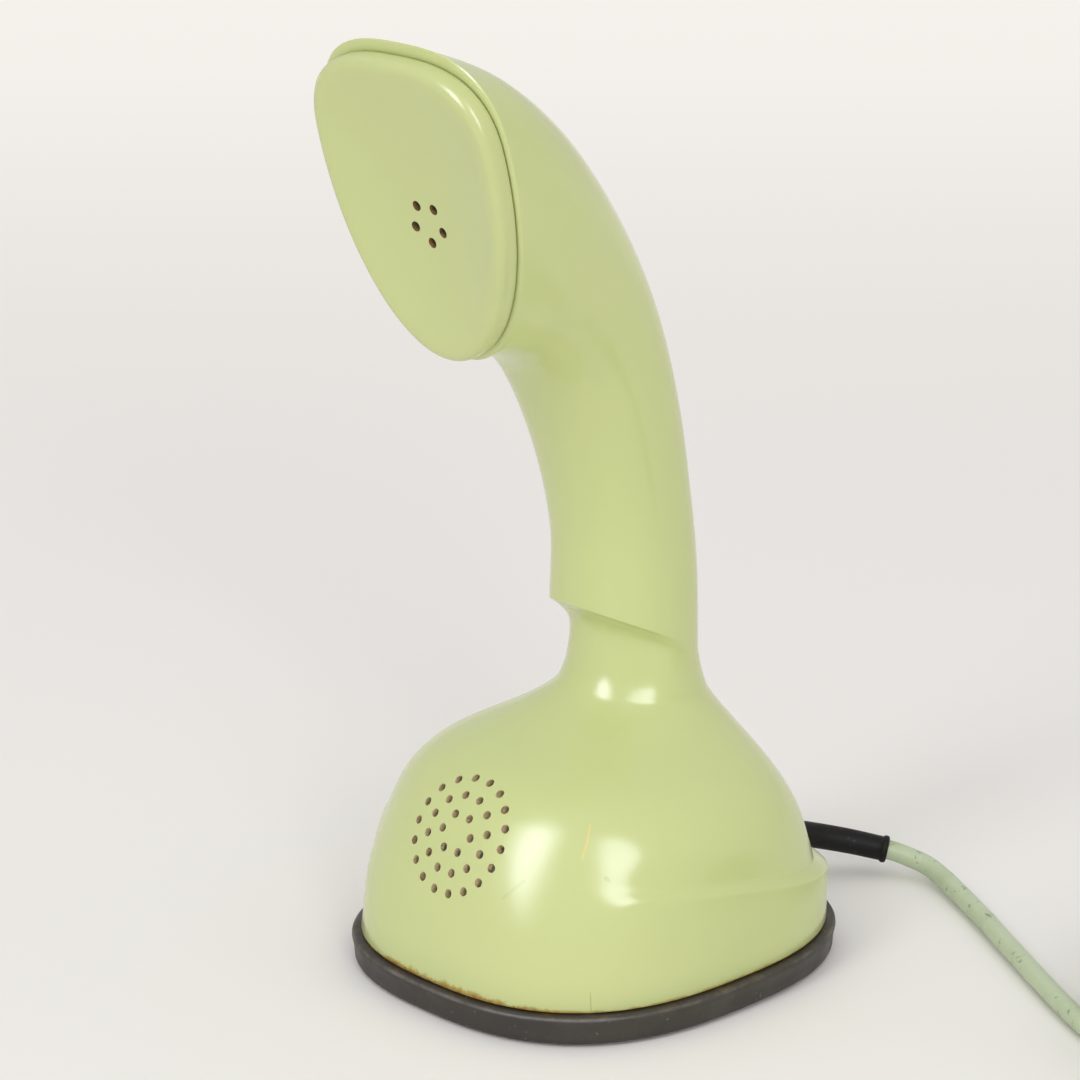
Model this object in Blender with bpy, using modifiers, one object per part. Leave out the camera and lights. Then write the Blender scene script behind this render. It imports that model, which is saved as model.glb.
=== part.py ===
"""One-piece desk telephone.

The handset stands upright on its own base. The mouthpiece grille is in the front of the base, the
earpiece cap closes the head, and the rotary dial with the hook button at its middle is underneath.
Everything is laid out about the middle of the foot, with the front towards -Y, and a root empty
then moves it so that the middle of the whole telephone is the origin.
"""

import math

import bmesh
import bpy
from mathutils import Matrix, Vector

MM = 0.001
TURN = 2 * math.pi

# Overall sizes. The foot takes its width from the dial that it holds, and its depth from its width.
HEIGHT = 230 * MM
WHEEL_RADIUS = 36 * MM
FOOT_LONGER = 5 * MM  # half depth over half width

# Fits shared by several pieces
GAP = 0.3 * MM        # between faces that rest on each other
PLAY = 0.6 * MM       # round pieces that turn or slide
OVERRUN = 3 * MM      # how far a cutter runs past what it cuts
SINK = 1.2 * MM       # how deep a joined shape reaches into the one that carries it
STEP = 1 * MM         # small steps, such as a flange over its plate
MERGE = 0.01 * MM     # points of a turned shape closer than this are one

# Foot ring
FOOT_HEIGHT = 8 * MM
FOOT_STEP = 2 * MM
FOOT_ROUND = 0.9 * MM
OUTLINE_POWER = 2.6

# Shell
WALL = 2.6 * MM
CREASE_FRONT = 37.6 * MM
CREASE_REAR = 21.5 * MM
SKIRT_LEAN = 3.6 * MM
SKIRT_LEAN_SIDE = 0.7 * MM
LEDGE_FRONT = 0.2 * MM
LEDGE_REAR = 3.4 * MM
LEDGE_SIDE = 0.7 * MM
WIDEST_SHARE = 0.5
SHELL_SIDES = 32
STATION_STEPS = 2
THINNEST_SHARE = 0.45  # limit on how far a sloping wall is thickened along its section

# Each station is a section of the shell: front and back points as shares of the foot's half depth
# and of the height, half width as a share of the foot's half width, then its shape.
# front y, front z, back y, back z, half width, widest share, front power, back power
DOME_SHARES = (
    (-0.786, 0.200, 0.830, 0.157, 0.892, 0.50, 2.30, 2.35),
    (-0.625, 0.235, 0.732, 0.204, 0.745, 0.50, 2.20, 2.30),
    (-0.384, 0.259, 0.620, 0.246, 0.520, 0.50, 2.10, 2.20),
    (-0.152, 0.285, 0.541, 0.276, 0.345, 0.50, 2.00, 2.20),
    (-0.045, 0.326, 0.507, 0.298, 0.298, 0.50, 2.00, 2.30),
    (-0.045, 0.361, 0.495, 0.309, 0.298, 0.50, 2.00, 2.40),
    (-0.080, 0.380, 0.489, 0.313, 0.318, 0.50, 2.00, 2.30),
)
DOME_INNER = 6  # stations that the inside follows, which leaves the finger rest solid
HANDLE_SHARES = (
    (-0.143, 0.389, 0.484, 0.317, 0.349, 0.50, 2.10, 2.00),
    (-0.145, 0.461, 0.475, 0.409, 0.331, 0.50, 2.15, 2.10),
    (-0.207, 0.530, 0.423, 0.504, 0.335, 0.50, 2.20, 2.10),
    (-0.309, 0.596, 0.325, 0.607, 0.363, 0.50, 2.20, 2.15),
    (-0.429, 0.646, 0.163, 0.713, 0.400, 0.50, 2.20, 2.20),
    (-0.571, 0.672, -0.091, 0.817, 0.459, 0.50, 2.15, 2.25),
    (-0.688, 0.680, -0.423, 0.909, 0.522, 0.53, 2.10, 2.40),
    (-0.732, 0.680, -0.768, 0.972, 0.565, 0.60, 2.05, 2.60),
    (-0.732, 0.676, -1.079, 0.995, 0.586, 0.68, 2.05, 2.80),
)

# Mouthpiece grille
MIC_RISE_SHARE = 0.63        # up the front, from the crease to the dome's first station
MIC_SET_IN = 2.14 * MM
MIC_LESS_TILT = math.radians(2.4)  # the grille looks up less than that stretch of the front does
MIC_HOLE = 1.1 * MM
MIC_RING_STEP = 4.6 * MM
MIC_RINGS = 3
MIC_HOLES_IN_FIRST_RING = 6
MIC_HOLE_SIDES = 6

# Earpiece cap
CAP_HEIGHT = 5.8 * MM
CAP_JOINT = 0.8 * MM
CAP_DISH = 3.5 * MM
CAP_FACE_INSET = 2.6 * MM
CAP_EDGE = 1.4 * MM
CAP_SET_IN = 0.95 * MM
CAP_PLAY = 2.2 * MM
CAP_SPIGOT = 1.6 * MM
CAP_SPIGOT_DEPTH = 2 * MM
CAP_FACE_WALL = 2.8 * MM
EAR_SHARE = 0.45       # up the face from its lower end
EAR_HOLE = 1.25 * MM
EAR_HOLE_RING = 4.7 * MM
EAR_HOLES = 5
EAR_HOLE_SIDES = 8

# Receiver capsule
RECEIVER_SHARE = 0.6023      # its radius, of the rim's half width
RECEIVER_DEPTH = 10 * MM
RECEIVER_RIM = 1.6 * MM
RECEIVER_CUP = 2.2 * MM
DIAPHRAGM = 0.5 * MM
SOCKET_WALL = 1.6 * MM
RECEIVER_RING = 1.5 * MM
RECEIVER_RING_BORE = 12 * MM

# Transmitter capsule
TRANSMITTER_RADIUS = 15 * MM
TRANSMITTER_DEPTH = 8 * MM
FELT = 1.2 * MM
FELT_RING = 1 * MM
FELT_SET_BACK = 5.5 * MM
HOLDER_WALL = 1.5 * MM
HOLDER_LEG_WIDTH = 5 * MM
HOLDER_LEG_THICK = 2.6 * MM
HOLDER_LEG_SPREAD = 8 * MM
HOLDER_LEG_IN = 0.7 * MM     # from the cup's lowest edge
HOLDER_LEG_OVER = 4.3 * MM   # above the cup's lowest edge

# Base plate
PLATE = 2.5 * MM
PLATE_PLAY = 0.8 * MM
PLATE_RIM_WALL = 1.2 * MM
PLATE_RIM_DROP = 5.8 * MM
FOOT_WALL = 7.5 * MM
OPENING_SET_IN = 2 * MM      # from the edge of the finger wheel
BASE_SCREW = 1.5 * MM
BASE_SCREW_HEAD = 2.6 * MM
BASE_SCREW_HEAD_HEIGHT = 1.8 * MM
BASE_SCREW_LENGTH = 9 * MM
LUG_OUT = 5 * MM             # from the edge of the dial frame to the middle of a lug
LUG_ANGLE = math.radians(46.7)
LUG_RADIUS = 3.4 * MM
LUG_HEIGHT = 9 * MM
LUG_SINK = 0.8 * MM
LUG_RIB = 3 * MM

# Dial, seen from below
WHEEL_THICK = 2 * MM
WHEEL_CLEAR = 2.6 * MM   # from the floor to the wheel
FINGER_HOLES = 10
FINGER_HOLE = 5.6 * MM
FINGER_RING_SHARE = 0.764    # of the finger wheel's radius
FINGER_STEP = math.radians(30)
HUB_RADIUS = 12.5 * MM
HUB_HEIGHT = 3.4 * MM
HUB_FLOOR = 1.8 * MM
HUB_WALL = 2.7 * MM
NUMBER_PLATE = 1.2 * MM
NUMBER_OVER = 0.8 * MM       # the number plate's edge outside the wheel's
NUMBER_CLEAR = 1.4 * MM
NUMBER_POST = 1.5 * MM
NUMBER_POST_IN = 4 * MM      # from the edge of the base plate's opening
STOP_ANGLE = math.radians(-60)
STOP_OUT = 3.2 * MM          # from the edge of the finger wheel to the middle of the post
STOP_ROOM = 1.2 * MM         # from the post to the base plate's rim
STOP_WIDTH = 4.5 * MM
STOP_THICK = 1.1 * MM
STOP_CLEAR = 1.1 * MM    # from the floor
STOP_REACH = 14 * MM
STOP_POST = 1.6 * MM
STOP_EDGE = 0.2 * MM

# Dial works, above the base plate. The works fill the frame, so their reach follows its radius.
FRAME_OVER = 0.3 * MM        # the frame's edge outside the stop's post
FRAME_THICK = 1.6 * MM
PILLAR_RADIUS = 1.8 * MM
PILLAR_RING_SHARE = 0.6228
PILLAR_ANGLES = (math.radians(150), math.radians(218), math.radians(300))
WORKS_HEIGHT = 12.3 * MM
BRIDGE_THICK = 1.3 * MM
BRIDGE_SHARE = 0.7595
BRIDGE_SET_SHARE = 0.1519
ROD_RADIUS = 1.9 * MM
ROD_TIP = 0.7 * MM
ROD_TAPER = 1.3 * MM
SHAFT_WALL = 2 * MM
BUSH_WALL = 1.3 * MM
BUSH_FLANGE = 1.6 * MM
MODULE_SHARE = 2 / 79        # of the frame's radius: 79 of the main gear's modules span the frame
MAIN_TEETH = 40
PINION_TEETH = 10
IDLER_TEETH = 36
GOVERNOR_TEETH = 9
GOVERNOR_MODULE_SHARE = 0.7  # of the main gear's module
GEAR_THICK = 2 * MM
MESH_PLAY = 0.2 * MM
ROOT_SHARE = 1.1             # of a module, from the pitch circle in to the root
CREST_SHARE = 0.8            # of a module, from the pitch circle out to the tip
TOOTH_SHARE = 0.255          # half a tooth at its root, of one tooth step
TIP_SHARE = 0.12             # half a tooth at its tip, of one tooth step
MAIN_LIFT = 1.8 * MM
IDLER_LIFT = 6.2 * MM
CAM_LIFT = 9 * MM
CAM_RADIUS = 3.6 * MM
CAM_FLAT = 1.3 * MM
CAM_THICK = 1.5 * MM
ARBOR_RADIUS = 1.1 * MM
IMPULSE_ANGLE = math.radians(20)
GOVERNOR_ANGLE = math.radians(100)
SPRING_ROOM = 0.54 * MM      # from the spring to the wheel beside it
SPRING_BORE = 5.2 * MM
SPRING_TURNS = 4
SPRING_STRIP = 0.5 * MM
SPRING_WIDTH = 3 * MM
SPRING_LIFT = 4.6 * MM
GOVERNOR_CUP_SHARE = 0.439   # of the distance between the two small shafts
GOVERNOR_CUP_WALL = 0.9 * MM
GOVERNOR_CUP_HEIGHT = 4.4 * MM
GOVERNOR_ROOM = 1.1 * MM     # from the weight's end to the cup
GOVERNOR_WEIGHT = 2.6 * MM
CONTACT_BLOCK = Vector((5.4, 5, 10.6)) * MM
CONTACT_BLADE = 0.4 * MM
CONTACT_BLADE_WIDTH = 1.5 * MM
CONTACT_BLADE_GAP = 1.2 * MM
CONTACT_SHARES = Vector((0.0987, -0.4709, 0))  # of the frame's radius, from the cam's middle

# Hook switch
BUTTON_RADIUS = 8.6 * MM
BUTTON_HEIGHT = 6.4 * MM
BUTTON_FACE = 2 * MM
BUTTON_WALL = 1.6 * MM
BUTTON_BOSS = 1.6 * MM
BUTTON_REST = 0.2 * MM
BUTTON_TRAVEL = 4.5 * MM
HOOK_SPRING_WIRE = 0.8 * MM
HOOK_SPRING_TURNS = 3
HOOK_SPRING_RADIUS = 5.2 * MM
ROD_RISE = 6.5 * MM
LEVER_ARM = 12 * MM
LEVER_OVER = 2 * MM
LEVER_EYE = 2.1 * MM
LEVER_WIDTH = 6.6 * MM
LEVER_THICK = 1.7 * MM
PIN_RADIUS = 0.9 * MM
PIN_END = 0.6 * MM
CHEEK = 1.4 * MM
BRACKET_LENGTH = 6 * MM
BRACKET_BASE = 1 * MM
SWITCH_BLOCK = Vector((5, 9, 13.4)) * MM
SWITCH_BLADE = 0.4 * MM
SWITCH_BLADE_WIDTH = 4.4 * MM
SWITCH_BLADE_STEP = 1.6 * MM
SWITCH_BLADES = 2
SWITCH_CLEAR = 0.6 * MM

# Pieces that stand on the dial frame
COIL_SHARES = Vector((-0.8987, 0.1013, 0))     # of the frame's radius, as the next two tables are
CAPACITOR_SHARES = Vector((-0.405, 0.8734, 0))
TERMINAL_SHARES = Vector((0.3544, 0.9494, 0))
BOBBIN_LENGTH = 26 * MM
BOBBIN_FLANGE = 7 * MM
BOBBIN_CORE = 4.2 * MM
BOBBIN_BORE = 2.8 * MM
BOBBIN_CHEEK = 1.2 * MM
WINDING_RADIUS = 6.2 * MM
CORE_OVER = 1.6 * MM
CAPACITOR_SHARE = 0.5063     # its length, of the frame's radius
CAPACITOR_THICK = 9 * MM
CAPACITOR_HEIGHT = 11 * MM
BOARD_LENGTH = 20 * MM
BOARD_WIDTH = 8 * MM
BOARD_THICK = 3 * MM
TERMINALS = 3
TERMINAL_STEP = 5.4 * MM
TERMINAL_HEAD = 1.8 * MM
TERMINAL_HEAD_HEIGHT = 1.3 * MM
TERMINAL_SCREW = 0.9 * MM
EDGE = 0.6 * MM

# Strain relief and cord
EXIT_HEIGHT = 15.2 * MM
RELIEF_ROOT = 3.5 * MM
RELIEF_TIP = 3.1 * MM
RELIEF_BEAD = 3.8 * MM
BEAD_LENGTH = 1.8 * MM
CORD_DIAMETER = 5 * MM
LEAD_RADIUS = 0.7 * MM
LEAD_SPACING = 6 * MM
LEAD_LIFT = 14.4 * MM        # how high the transmitter's lead passes over the bridge
LEAD_OUT = 2 * MM            # from a capsule's back to the start of its lead
LEAD_OVER = 0.4 * MM         # from a terminal screw to the end of its lead
TAIL_RADIUS = 2 * MM
CORD_SPACING = 7 * MM
RELIEF_SPACING = 3 * MM
RELIEF_SIDES = 12
RELIEF_REACH = 33.4 * MM
# Rows of x, y and z: shares of the sleeve's reach from where it leaves the skirt, and of the hole's height
# over the cord on the table
RELIEF_ROUTE_SHARES = (
    (0, -0.19, 1), (0, 0, 1), (0.024, 0.24, 0.874), (0.108, 0.554, 0.622), (0.287, 0.814, 0.425),
    (0.521, 1, 0.283))
# The cord's own points in millimetres from the sleeve's tip, with the same share of the height
CORD_ROUTE = (
    (0.7, 0.55, 0.271), (4.4, 2.1, 0.205), (11, 2.6, 0.118), (19, 0.2, 0.039), (30.1, -5.4, 0.008),
    (41.6, -11.4, 0), (52.6, -17.4, 0), (63.1, -23.4, 0), (73.6, -29.2, 0), (84.2, -34.4, 0),
    (94.6, -38.5, 0))
TAIL_LENGTH = 12 * MM
TAIL_SHARES = ((0, 0), (0.04, 0.5), (0.1, 1))
COIL_CENTRE = Vector((125.2, -15.2, 0)) * MM  # from the sleeve's tip
COIL_LEAD_IN = 8 * MM
COIL_OUTER = 33.6 * MM
COIL_START = math.radians(256)
COIL_STEP = 5.7 * MM
COIL_LAYERS = 4
COIL_LAYER_TURNS = 2.04
COIL_POINTS_PER_TURN = 24
END_DROPS = (0.97, 0.8, 0.42, 0.08, 0, 0)  # shares of the coil height, along the way to the plug
END_REACH = 44 * MM
END_RISE = 1 * MM
PLUG = Vector((36, 24, 17)) * MM
PLUG_ROUND = 3 * MM
PLUG_PIN = Vector((16, 1.4, 5)) * MM
PLUG_PIN_STEP = 7.5 * MM

# Places worked out from the dimensions above
STOP_RING = WHEEL_RADIUS + STOP_OUT
FINGER_RING = WHEEL_RADIUS * FINGER_RING_SHARE
DIAL_OPENING = WHEEL_RADIUS - OPENING_SET_IN
NUMBER_RADIUS = WHEEL_RADIUS + NUMBER_OVER
FRAME_RADIUS = STOP_RING + FRAME_OVER
HALF_WIDTH = STOP_RING + STOP_POST + STOP_ROOM + PLATE_RIM_WALL + GAP + FOOT_WALL
HALF_DEPTH = HALF_WIDTH + FOOT_LONGER
SKIRT_FOOT = FOOT_HEIGHT + GAP
SKIRT_HALF_WIDTH = HALF_WIDTH - FOOT_STEP
SKIRT_HALF_DEPTH = HALF_DEPTH - FOOT_STEP
PLATE_TOP = SKIRT_FOOT + PLATE
FRAME_FLOOR = PLATE_TOP + GAP
FRAME_TOP = FRAME_FLOOR + FRAME_THICK
WORKS_FLOOR = FRAME_TOP + GAP
BRIDGE_FLOOR = FRAME_TOP + WORKS_HEIGHT + GAP
BRIDGE_TOP = BRIDGE_FLOOR + BRIDGE_THICK
WHEEL_TOP = WHEEL_CLEAR + WHEEL_THICK
HUB_TOP = WHEEL_TOP + HUB_HEIGHT + HUB_FLOOR
SHAFT_BORE = ROD_RADIUS + PLAY
SHAFT_RADIUS = SHAFT_BORE + SHAFT_WALL
BUSH_BORE = SHAFT_RADIUS + GAP
BUSH_RADIUS = BUSH_BORE + BUSH_WALL
SHAFT_TOP = BRIDGE_TOP + STEP
LUG_REACH = FRAME_RADIUS + LUG_OUT
LUG_AT = Vector((LUG_REACH * math.cos(LUG_ANGLE), LUG_REACH * math.sin(LUG_ANGLE), 0))
PILLAR_RING = FRAME_RADIUS * PILLAR_RING_SHARE
BRIDGE_RADIUS = FRAME_RADIUS * BRIDGE_SHARE
BRIDGE_SET = FRAME_RADIUS * BRIDGE_SET_SHARE
DIAL_MODULE = FRAME_RADIUS * MODULE_SHARE
GOVERNOR_MODULE = DIAL_MODULE * GOVERNOR_MODULE_SHARE
IMPULSE_REACH = (MAIN_TEETH + PINION_TEETH) * DIAL_MODULE / 2 + MESH_PLAY
GOVERNOR_REACH = (IDLER_TEETH + GOVERNOR_TEETH) * GOVERNOR_MODULE / 2 + MESH_PLAY
IMPULSE_AT = Matrix.Rotation(IMPULSE_ANGLE, 3, "Z") @ Vector((IMPULSE_REACH, 0, 0))
GOVERNOR_AT = IMPULSE_AT + Matrix.Rotation(GOVERNOR_ANGLE, 3, "Z") @ Vector((GOVERNOR_REACH, 0, 0))
IDLER_TIP = (IDLER_TEETH / 2 + CREST_SHARE) * GOVERNOR_MODULE
SPRING_RADIUS = IMPULSE_REACH - IDLER_TIP - SPRING_STRIP - SPRING_ROOM
GOVERNOR_CUP = GOVERNOR_REACH * GOVERNOR_CUP_SHARE
GOVERNOR_ARM = GOVERNOR_CUP - GOVERNOR_CUP_WALL - GOVERNOR_ROOM
SWITCH_REACH = BRIDGE_RADIUS - BRIDGE_SET
COIL_AXIS = COIL_SHARES * FRAME_RADIUS
CAPACITOR = Vector((FRAME_RADIUS * CAPACITOR_SHARE, CAPACITOR_THICK, CAPACITOR_HEIGHT))
CAPACITOR_AT = CAPACITOR_SHARES * FRAME_RADIUS
TERMINAL_BOARD = Vector((BOARD_LENGTH, BOARD_WIDTH, BOARD_THICK))
TERMINAL_AT = TERMINAL_SHARES * FRAME_RADIUS
TERMINAL_TOP = WORKS_FLOOR + BOARD_THICK
EXIT = Vector((0, SKIRT_HALF_DEPTH, 0))
CORD_RADIUS = CORD_DIAMETER / 2
CORD_DROP = EXIT_HEIGHT - CORD_RADIUS
RELIEF_TURN = EXIT + Vector(RELIEF_ROUTE_SHARES[-1][:2]).to_3d() * RELIEF_REACH
ROD_TOP = BRIDGE_TOP + ROD_RISE
LEVER_FLOOR = ROD_TOP + GAP
LEVER_MIDDLE = LEVER_FLOOR + LEVER_THICK / 2

SMALL_TURN_STEPS = 16

for old in list(bpy.data.objects):
    bpy.data.objects.remove(old)

COLLECTION = bpy.data.collections.new("Desk telephone")
CUTTERS = bpy.data.collections.new("Cutters")
bpy.context.scene.collection.children.link(COLLECTION)
bpy.context.scene.collection.children.link(CUTTERS)


def material(name, color, roughness, metallic=0.0):
    """A plain Principled material."""
    made = bpy.data.materials.new(name)
    made.use_nodes = True
    shader = made.node_tree.nodes["Principled BSDF"]
    shader.inputs["Base Color"].default_value = (*color, 1)
    shader.inputs["Roughness"].default_value = roughness
    shader.inputs["Metallic"].default_value = metallic
    made.diffuse_color = (*color, 1)
    return made


GREEN = material("pale_green_plastic", (0.56, 0.63, 0.28), 0.18)
RUBBER = material("black_rubber", (0.035, 0.034, 0.03), 0.6)
CORD_GREEN = material("green_cord", (0.47, 0.58, 0.38), 0.5)
STEEL = material("steel", (0.56, 0.57, 0.58), 0.3, 1.0)
BRASS = material("brass", (0.78, 0.57, 0.22), 0.3, 1.0)
COPPER = material("copper_winding", (0.6, 0.25, 0.11), 0.4, 1.0)
ALUMINIUM = material("aluminium", (0.75, 0.75, 0.74), 0.35, 1.0)
BAKELITE = material("brown_bakelite", (0.1, 0.045, 0.022), 0.35)
BLACK = material("black_plastic", (0.02, 0.02, 0.022), 0.3)
WHITE = material("ivory_plastic", (0.75, 0.72, 0.62), 0.3)
RED = material("red_plastic", (0.5, 0.02, 0.015), 0.25)
FELT_GREY = material("grey_felt", (0.2, 0.19, 0.17), 0.9)

ROOT = bpy.data.objects.new("telephone_origin", None)
COLLECTION.objects.link(ROOT)


def add(name, data, shade, cutter=False):
    """Puts a mesh or a curve in the scene, under the root."""
    made = bpy.data.objects.new(name, data)
    made.parent = ROOT
    if cutter:
        CUTTERS.objects.link(made)
        made.hide_render = True
        made.display_type = "WIRE"
    else:
        COLLECTION.objects.link(made)
        data.materials.append(shade)
    return made


def finish(name, bm, shade, cutter=False):
    """Turns all faces outwards and makes the mesh an object."""
    bmesh.ops.recalc_face_normals(bm, faces=bm.faces)
    data = bpy.data.meshes.new(name)
    bm.to_mesh(data)
    bm.free()
    return add(name, data, shade, cutter)


def boolean(target, other, operation):
    """Cuts the other object from the target, or joins it on."""
    modifier = target.modifiers.new(other.name, "BOOLEAN")
    modifier.operation = operation
    modifier.solver = "EXACT"
    modifier.object = other


def signed_power(value, power):
    return math.copysign(abs(value) ** (2 / power), value)


def section(front, back, half_width, widest, front_power, back_power, sides=SHELL_SIDES):
    """A ring of points through the front and back points, each half a superellipse."""
    length = (back - front).length
    along = (back - front) / length
    points = []
    for step in range(sides):
        turn = TURN * step / sides
        at_front = math.cos(turn) > 0
        power = front_power if at_front else back_power
        reach = length * (widest if at_front else 1 - widest)
        offset = length * widest - reach * signed_power(math.cos(turn), power)
        across = Vector((half_width * signed_power(math.sin(turn), power), 0, 0))
        points.append(front + along * offset + across)
    return points


def level(half_width, half_depth, height, power=OUTLINE_POWER):
    """A level ring about the middle of the foot."""
    front = Vector((0, -half_depth, height))
    back = Vector((0, half_depth, height))
    return section(front, back, half_width, WIDEST_SHARE, power, power)


def station(shares):
    """A row of shares as lengths: front y and z, back y and z and half width, then the shape."""
    scales = (HALF_DEPTH, HEIGHT, HALF_DEPTH, HEIGHT, HALF_WIDTH, 1, 1, 1)
    return [share * scale for share, scale in zip(shares, scales)]


def ring_of(row):
    """The section that a station stands for."""
    return section(Vector((0, row[0], row[1])), Vector((0, row[2], row[3])), *row[4:])


def spline(rows, steps=STATION_STEPS):
    """A Catmull-Rom curve through the stations, with this many steps between each two."""
    ends = [[2 * a - b for a, b in zip(rows[0], rows[1])]]
    ends.append([2 * a - b for a, b in zip(rows[-1], rows[-2])])
    padded = [ends[0], *rows, ends[1]]
    made = []
    for index in range(len(rows) - 1):
        quads = list(zip(*padded[index:index + 4]))
        for step in range(steps):
            t = step / steps
            row = []
            for a, b, c, d in quads:
                bend = 2 * a - 5 * b + 4 * c - d
                twist = 3 * b - a - 3 * c + d
                row.append(b + (c - a) * t / 2 + bend * t ** 2 / 2 + twist * t ** 3 / 2)
            made.append(row)
    made.append(list(rows[-1]))
    return made


def thickened(wall, rise, run):
    """The wall measured along a section that a surface with this slope crosses."""
    slope = abs(rise) / math.hypot(rise, run)
    return wall / max(slope, THINNEST_SHARE)


def inset(rows, index, wall):
    """The station inside this one, with the wall's thickness measured square to the surface."""
    row = rows[index]
    low = rows[max(index - 1, 0)]
    high = rows[min(index + 1, len(rows) - 1)]
    front = Vector((row[0], row[1]))
    back = Vector((row[2], row[3]))
    along = (back - front).normalized()
    square = Vector((-along.y, along.x))
    front_run = Vector((high[0] - low[0], high[1] - low[1]))
    back_run = Vector((high[2] - low[2], high[3] - low[3]))
    middle_run = (front_run + back_run) / 2
    at_front = thickened(wall, front_run.dot(square), front_run.dot(along))
    at_back = thickened(wall, back_run.dot(square), back_run.dot(along))
    at_side = thickened(wall, middle_run.dot(square), high[4] - low[4])
    front += along * at_front
    back -= along * at_back
    return [front.x, front.y, back.x, back.y, row[4] - at_side, *row[5:]]


def loft(name, rings, shade, closed=False, cutter=False, centres=None):
    """A skin over the rings, closed on itself or by a fan at each end."""
    bm = bmesh.new()
    grid = [[bm.verts.new(point) for point in ring] for ring in rings]
    pairs = list(zip(grid, grid[1:]))
    if closed:
        pairs.append((grid[-1], grid[0]))
    for low, high in pairs:
        for index, point in enumerate(low):
            after = (index + 1) % len(low)
            bm.faces.new((point, low[after], high[after], high[index]))
    if not closed:
        if centres is None:
            centres = [sum(ring, Vector()) / len(ring) for ring in (rings[0], rings[-1])]
        for ring, centre in zip((grid[0], grid[-1]), centres):
            middle = bm.verts.new(centre)
            for index, point in enumerate(ring):
                bm.faces.new((middle, point, ring[(index + 1) % len(ring)]))
    return finish(name, bm, shade, cutter)


def turned(name, profile, shade, steps=SMALL_TURN_STEPS, place=None, cutter=False):
    """A profile of (radius, height) points turned about the upright axis, then moved."""
    bm = bmesh.new()
    points = [bm.verts.new((radius, 0, height)) for radius, height in profile]
    for first, second in zip(points, points[1:]):
        bm.edges.new((first, second))
    if profile[0][0] > 0:
        bm.edges.new((points[-1], points[0]))
    data = bpy.data.meshes.new(name)
    bm.to_mesh(data)
    bm.free()
    made = add(name, data, shade, cutter)
    screw = made.modifiers.new("Turn", "SCREW")
    screw.steps = steps
    screw.render_steps = steps
    screw.use_merge_vertices = True
    screw.merge_threshold = MERGE
    screw.use_normal_flip = True
    made.matrix_local = place if place else Matrix()
    return made


def disc(name, radius, bore, floor, top, shade, steps=SMALL_TURN_STEPS, place=None, cutter=False):
    """A plain disc or tube."""
    inner = max(bore, 0)
    profile = [(inner, floor), (radius, floor), (radius, top), (inner, top)]
    return turned(name, profile, shade, steps, place, cutter)


def boxes(name, spans, shade, cutter=False, edge=0, place=None):
    """One mesh of boxes, each given by its low and high corner."""
    bm = bmesh.new()
    for low, high in spans:
        size = high - low
        middle = (low + high) / 2
        matrix = Matrix.Translation(middle) @ Matrix.Diagonal((*size, 1))
        bmesh.ops.create_cube(bm, size=1, matrix=matrix)
    if edge:
        bmesh.ops.bevel(bm, geom=list(bm.edges), offset=edge, segments=1, affect="EDGES")
    if place:
        bmesh.ops.transform(bm, matrix=place, verts=bm.verts)
    return finish(name, bm, shade, cutter)


def box(name, middle, size, shade, edge=EDGE):
    """A box about its middle, with small chamfers."""
    return boxes(name, [(middle - size / 2, middle + size / 2)], shade, edge=edge)


def prisms(name, places, radius, length, sides, shade=None, cutter=True):
    """One mesh of round pegs, each along the Z axis of its matrix, with its middle there."""
    bm = bmesh.new()
    for place in places:
        bmesh.ops.create_cone(bm, cap_ends=True, segments=sides, radius1=radius, radius2=radius,
                              depth=length, matrix=place)
    return finish(name, bm, shade, cutter)


def tube(name, points, radius, shade, resolution=1):
    """A round cord or wire along these points."""
    data = bpy.data.curves.new(name, "CURVE")
    data.dimensions = "3D"
    data.bevel_depth = radius
    data.bevel_resolution = resolution
    data.use_fill_caps = True
    data.render_resolution_u = 0
    path = data.splines.new("POLY")
    path.points.add(len(points) - 1)
    for knot, point in zip(path.points, points):
        knot.co = (*point, 1)
    return add(name, data, shade)


def eased(points, spacing):
    """A smooth run through the points, with a point about every spacing."""
    rows = [list(point) for point in points]
    fine = [Vector(row) for row in spline(rows, 12)]
    made = [fine[0]]
    for point in fine[1:-1]:
        if (point - made[-1]).length >= spacing:
            made.append(point)
    if (fine[-1] - made[-1]).length < spacing / 2:
        made.pop()
    return [*made, fine[-1]]


def upright(x, y, z=0.0):
    return Matrix.Translation((x, y, z))


def facing(middle, outward):
    """A matrix at this place whose Z axis points outwards, and whose Y axis points up."""
    z_axis = outward.normalized()
    x_axis = Vector((1, 0, 0))
    y_axis = z_axis.cross(x_axis).normalized()
    matrix = Matrix((x_axis, y_axis, z_axis)).transposed().to_4x4()
    matrix.translation = middle
    return matrix


# Shell and what closes it

def skirt_level(share, half_width, half_depth):
    """A ring part way up the skirt, whose top follows the tilted crease."""
    lean = SKIRT_LEAN * share
    side_lean = SKIRT_LEAN_SIDE * share
    front_top = CREASE_FRONT - SKIRT_FOOT
    rear_top = CREASE_REAR - SKIRT_FOOT
    front = Vector((0, lean - half_depth, SKIRT_FOOT + front_top * share))
    back = Vector((0, half_depth - side_lean, SKIRT_FOOT + rear_top * share))
    return section(front, back, half_width - side_lean, WIDEST_SHARE, OUTLINE_POWER, OUTLINE_POWER)


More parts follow.
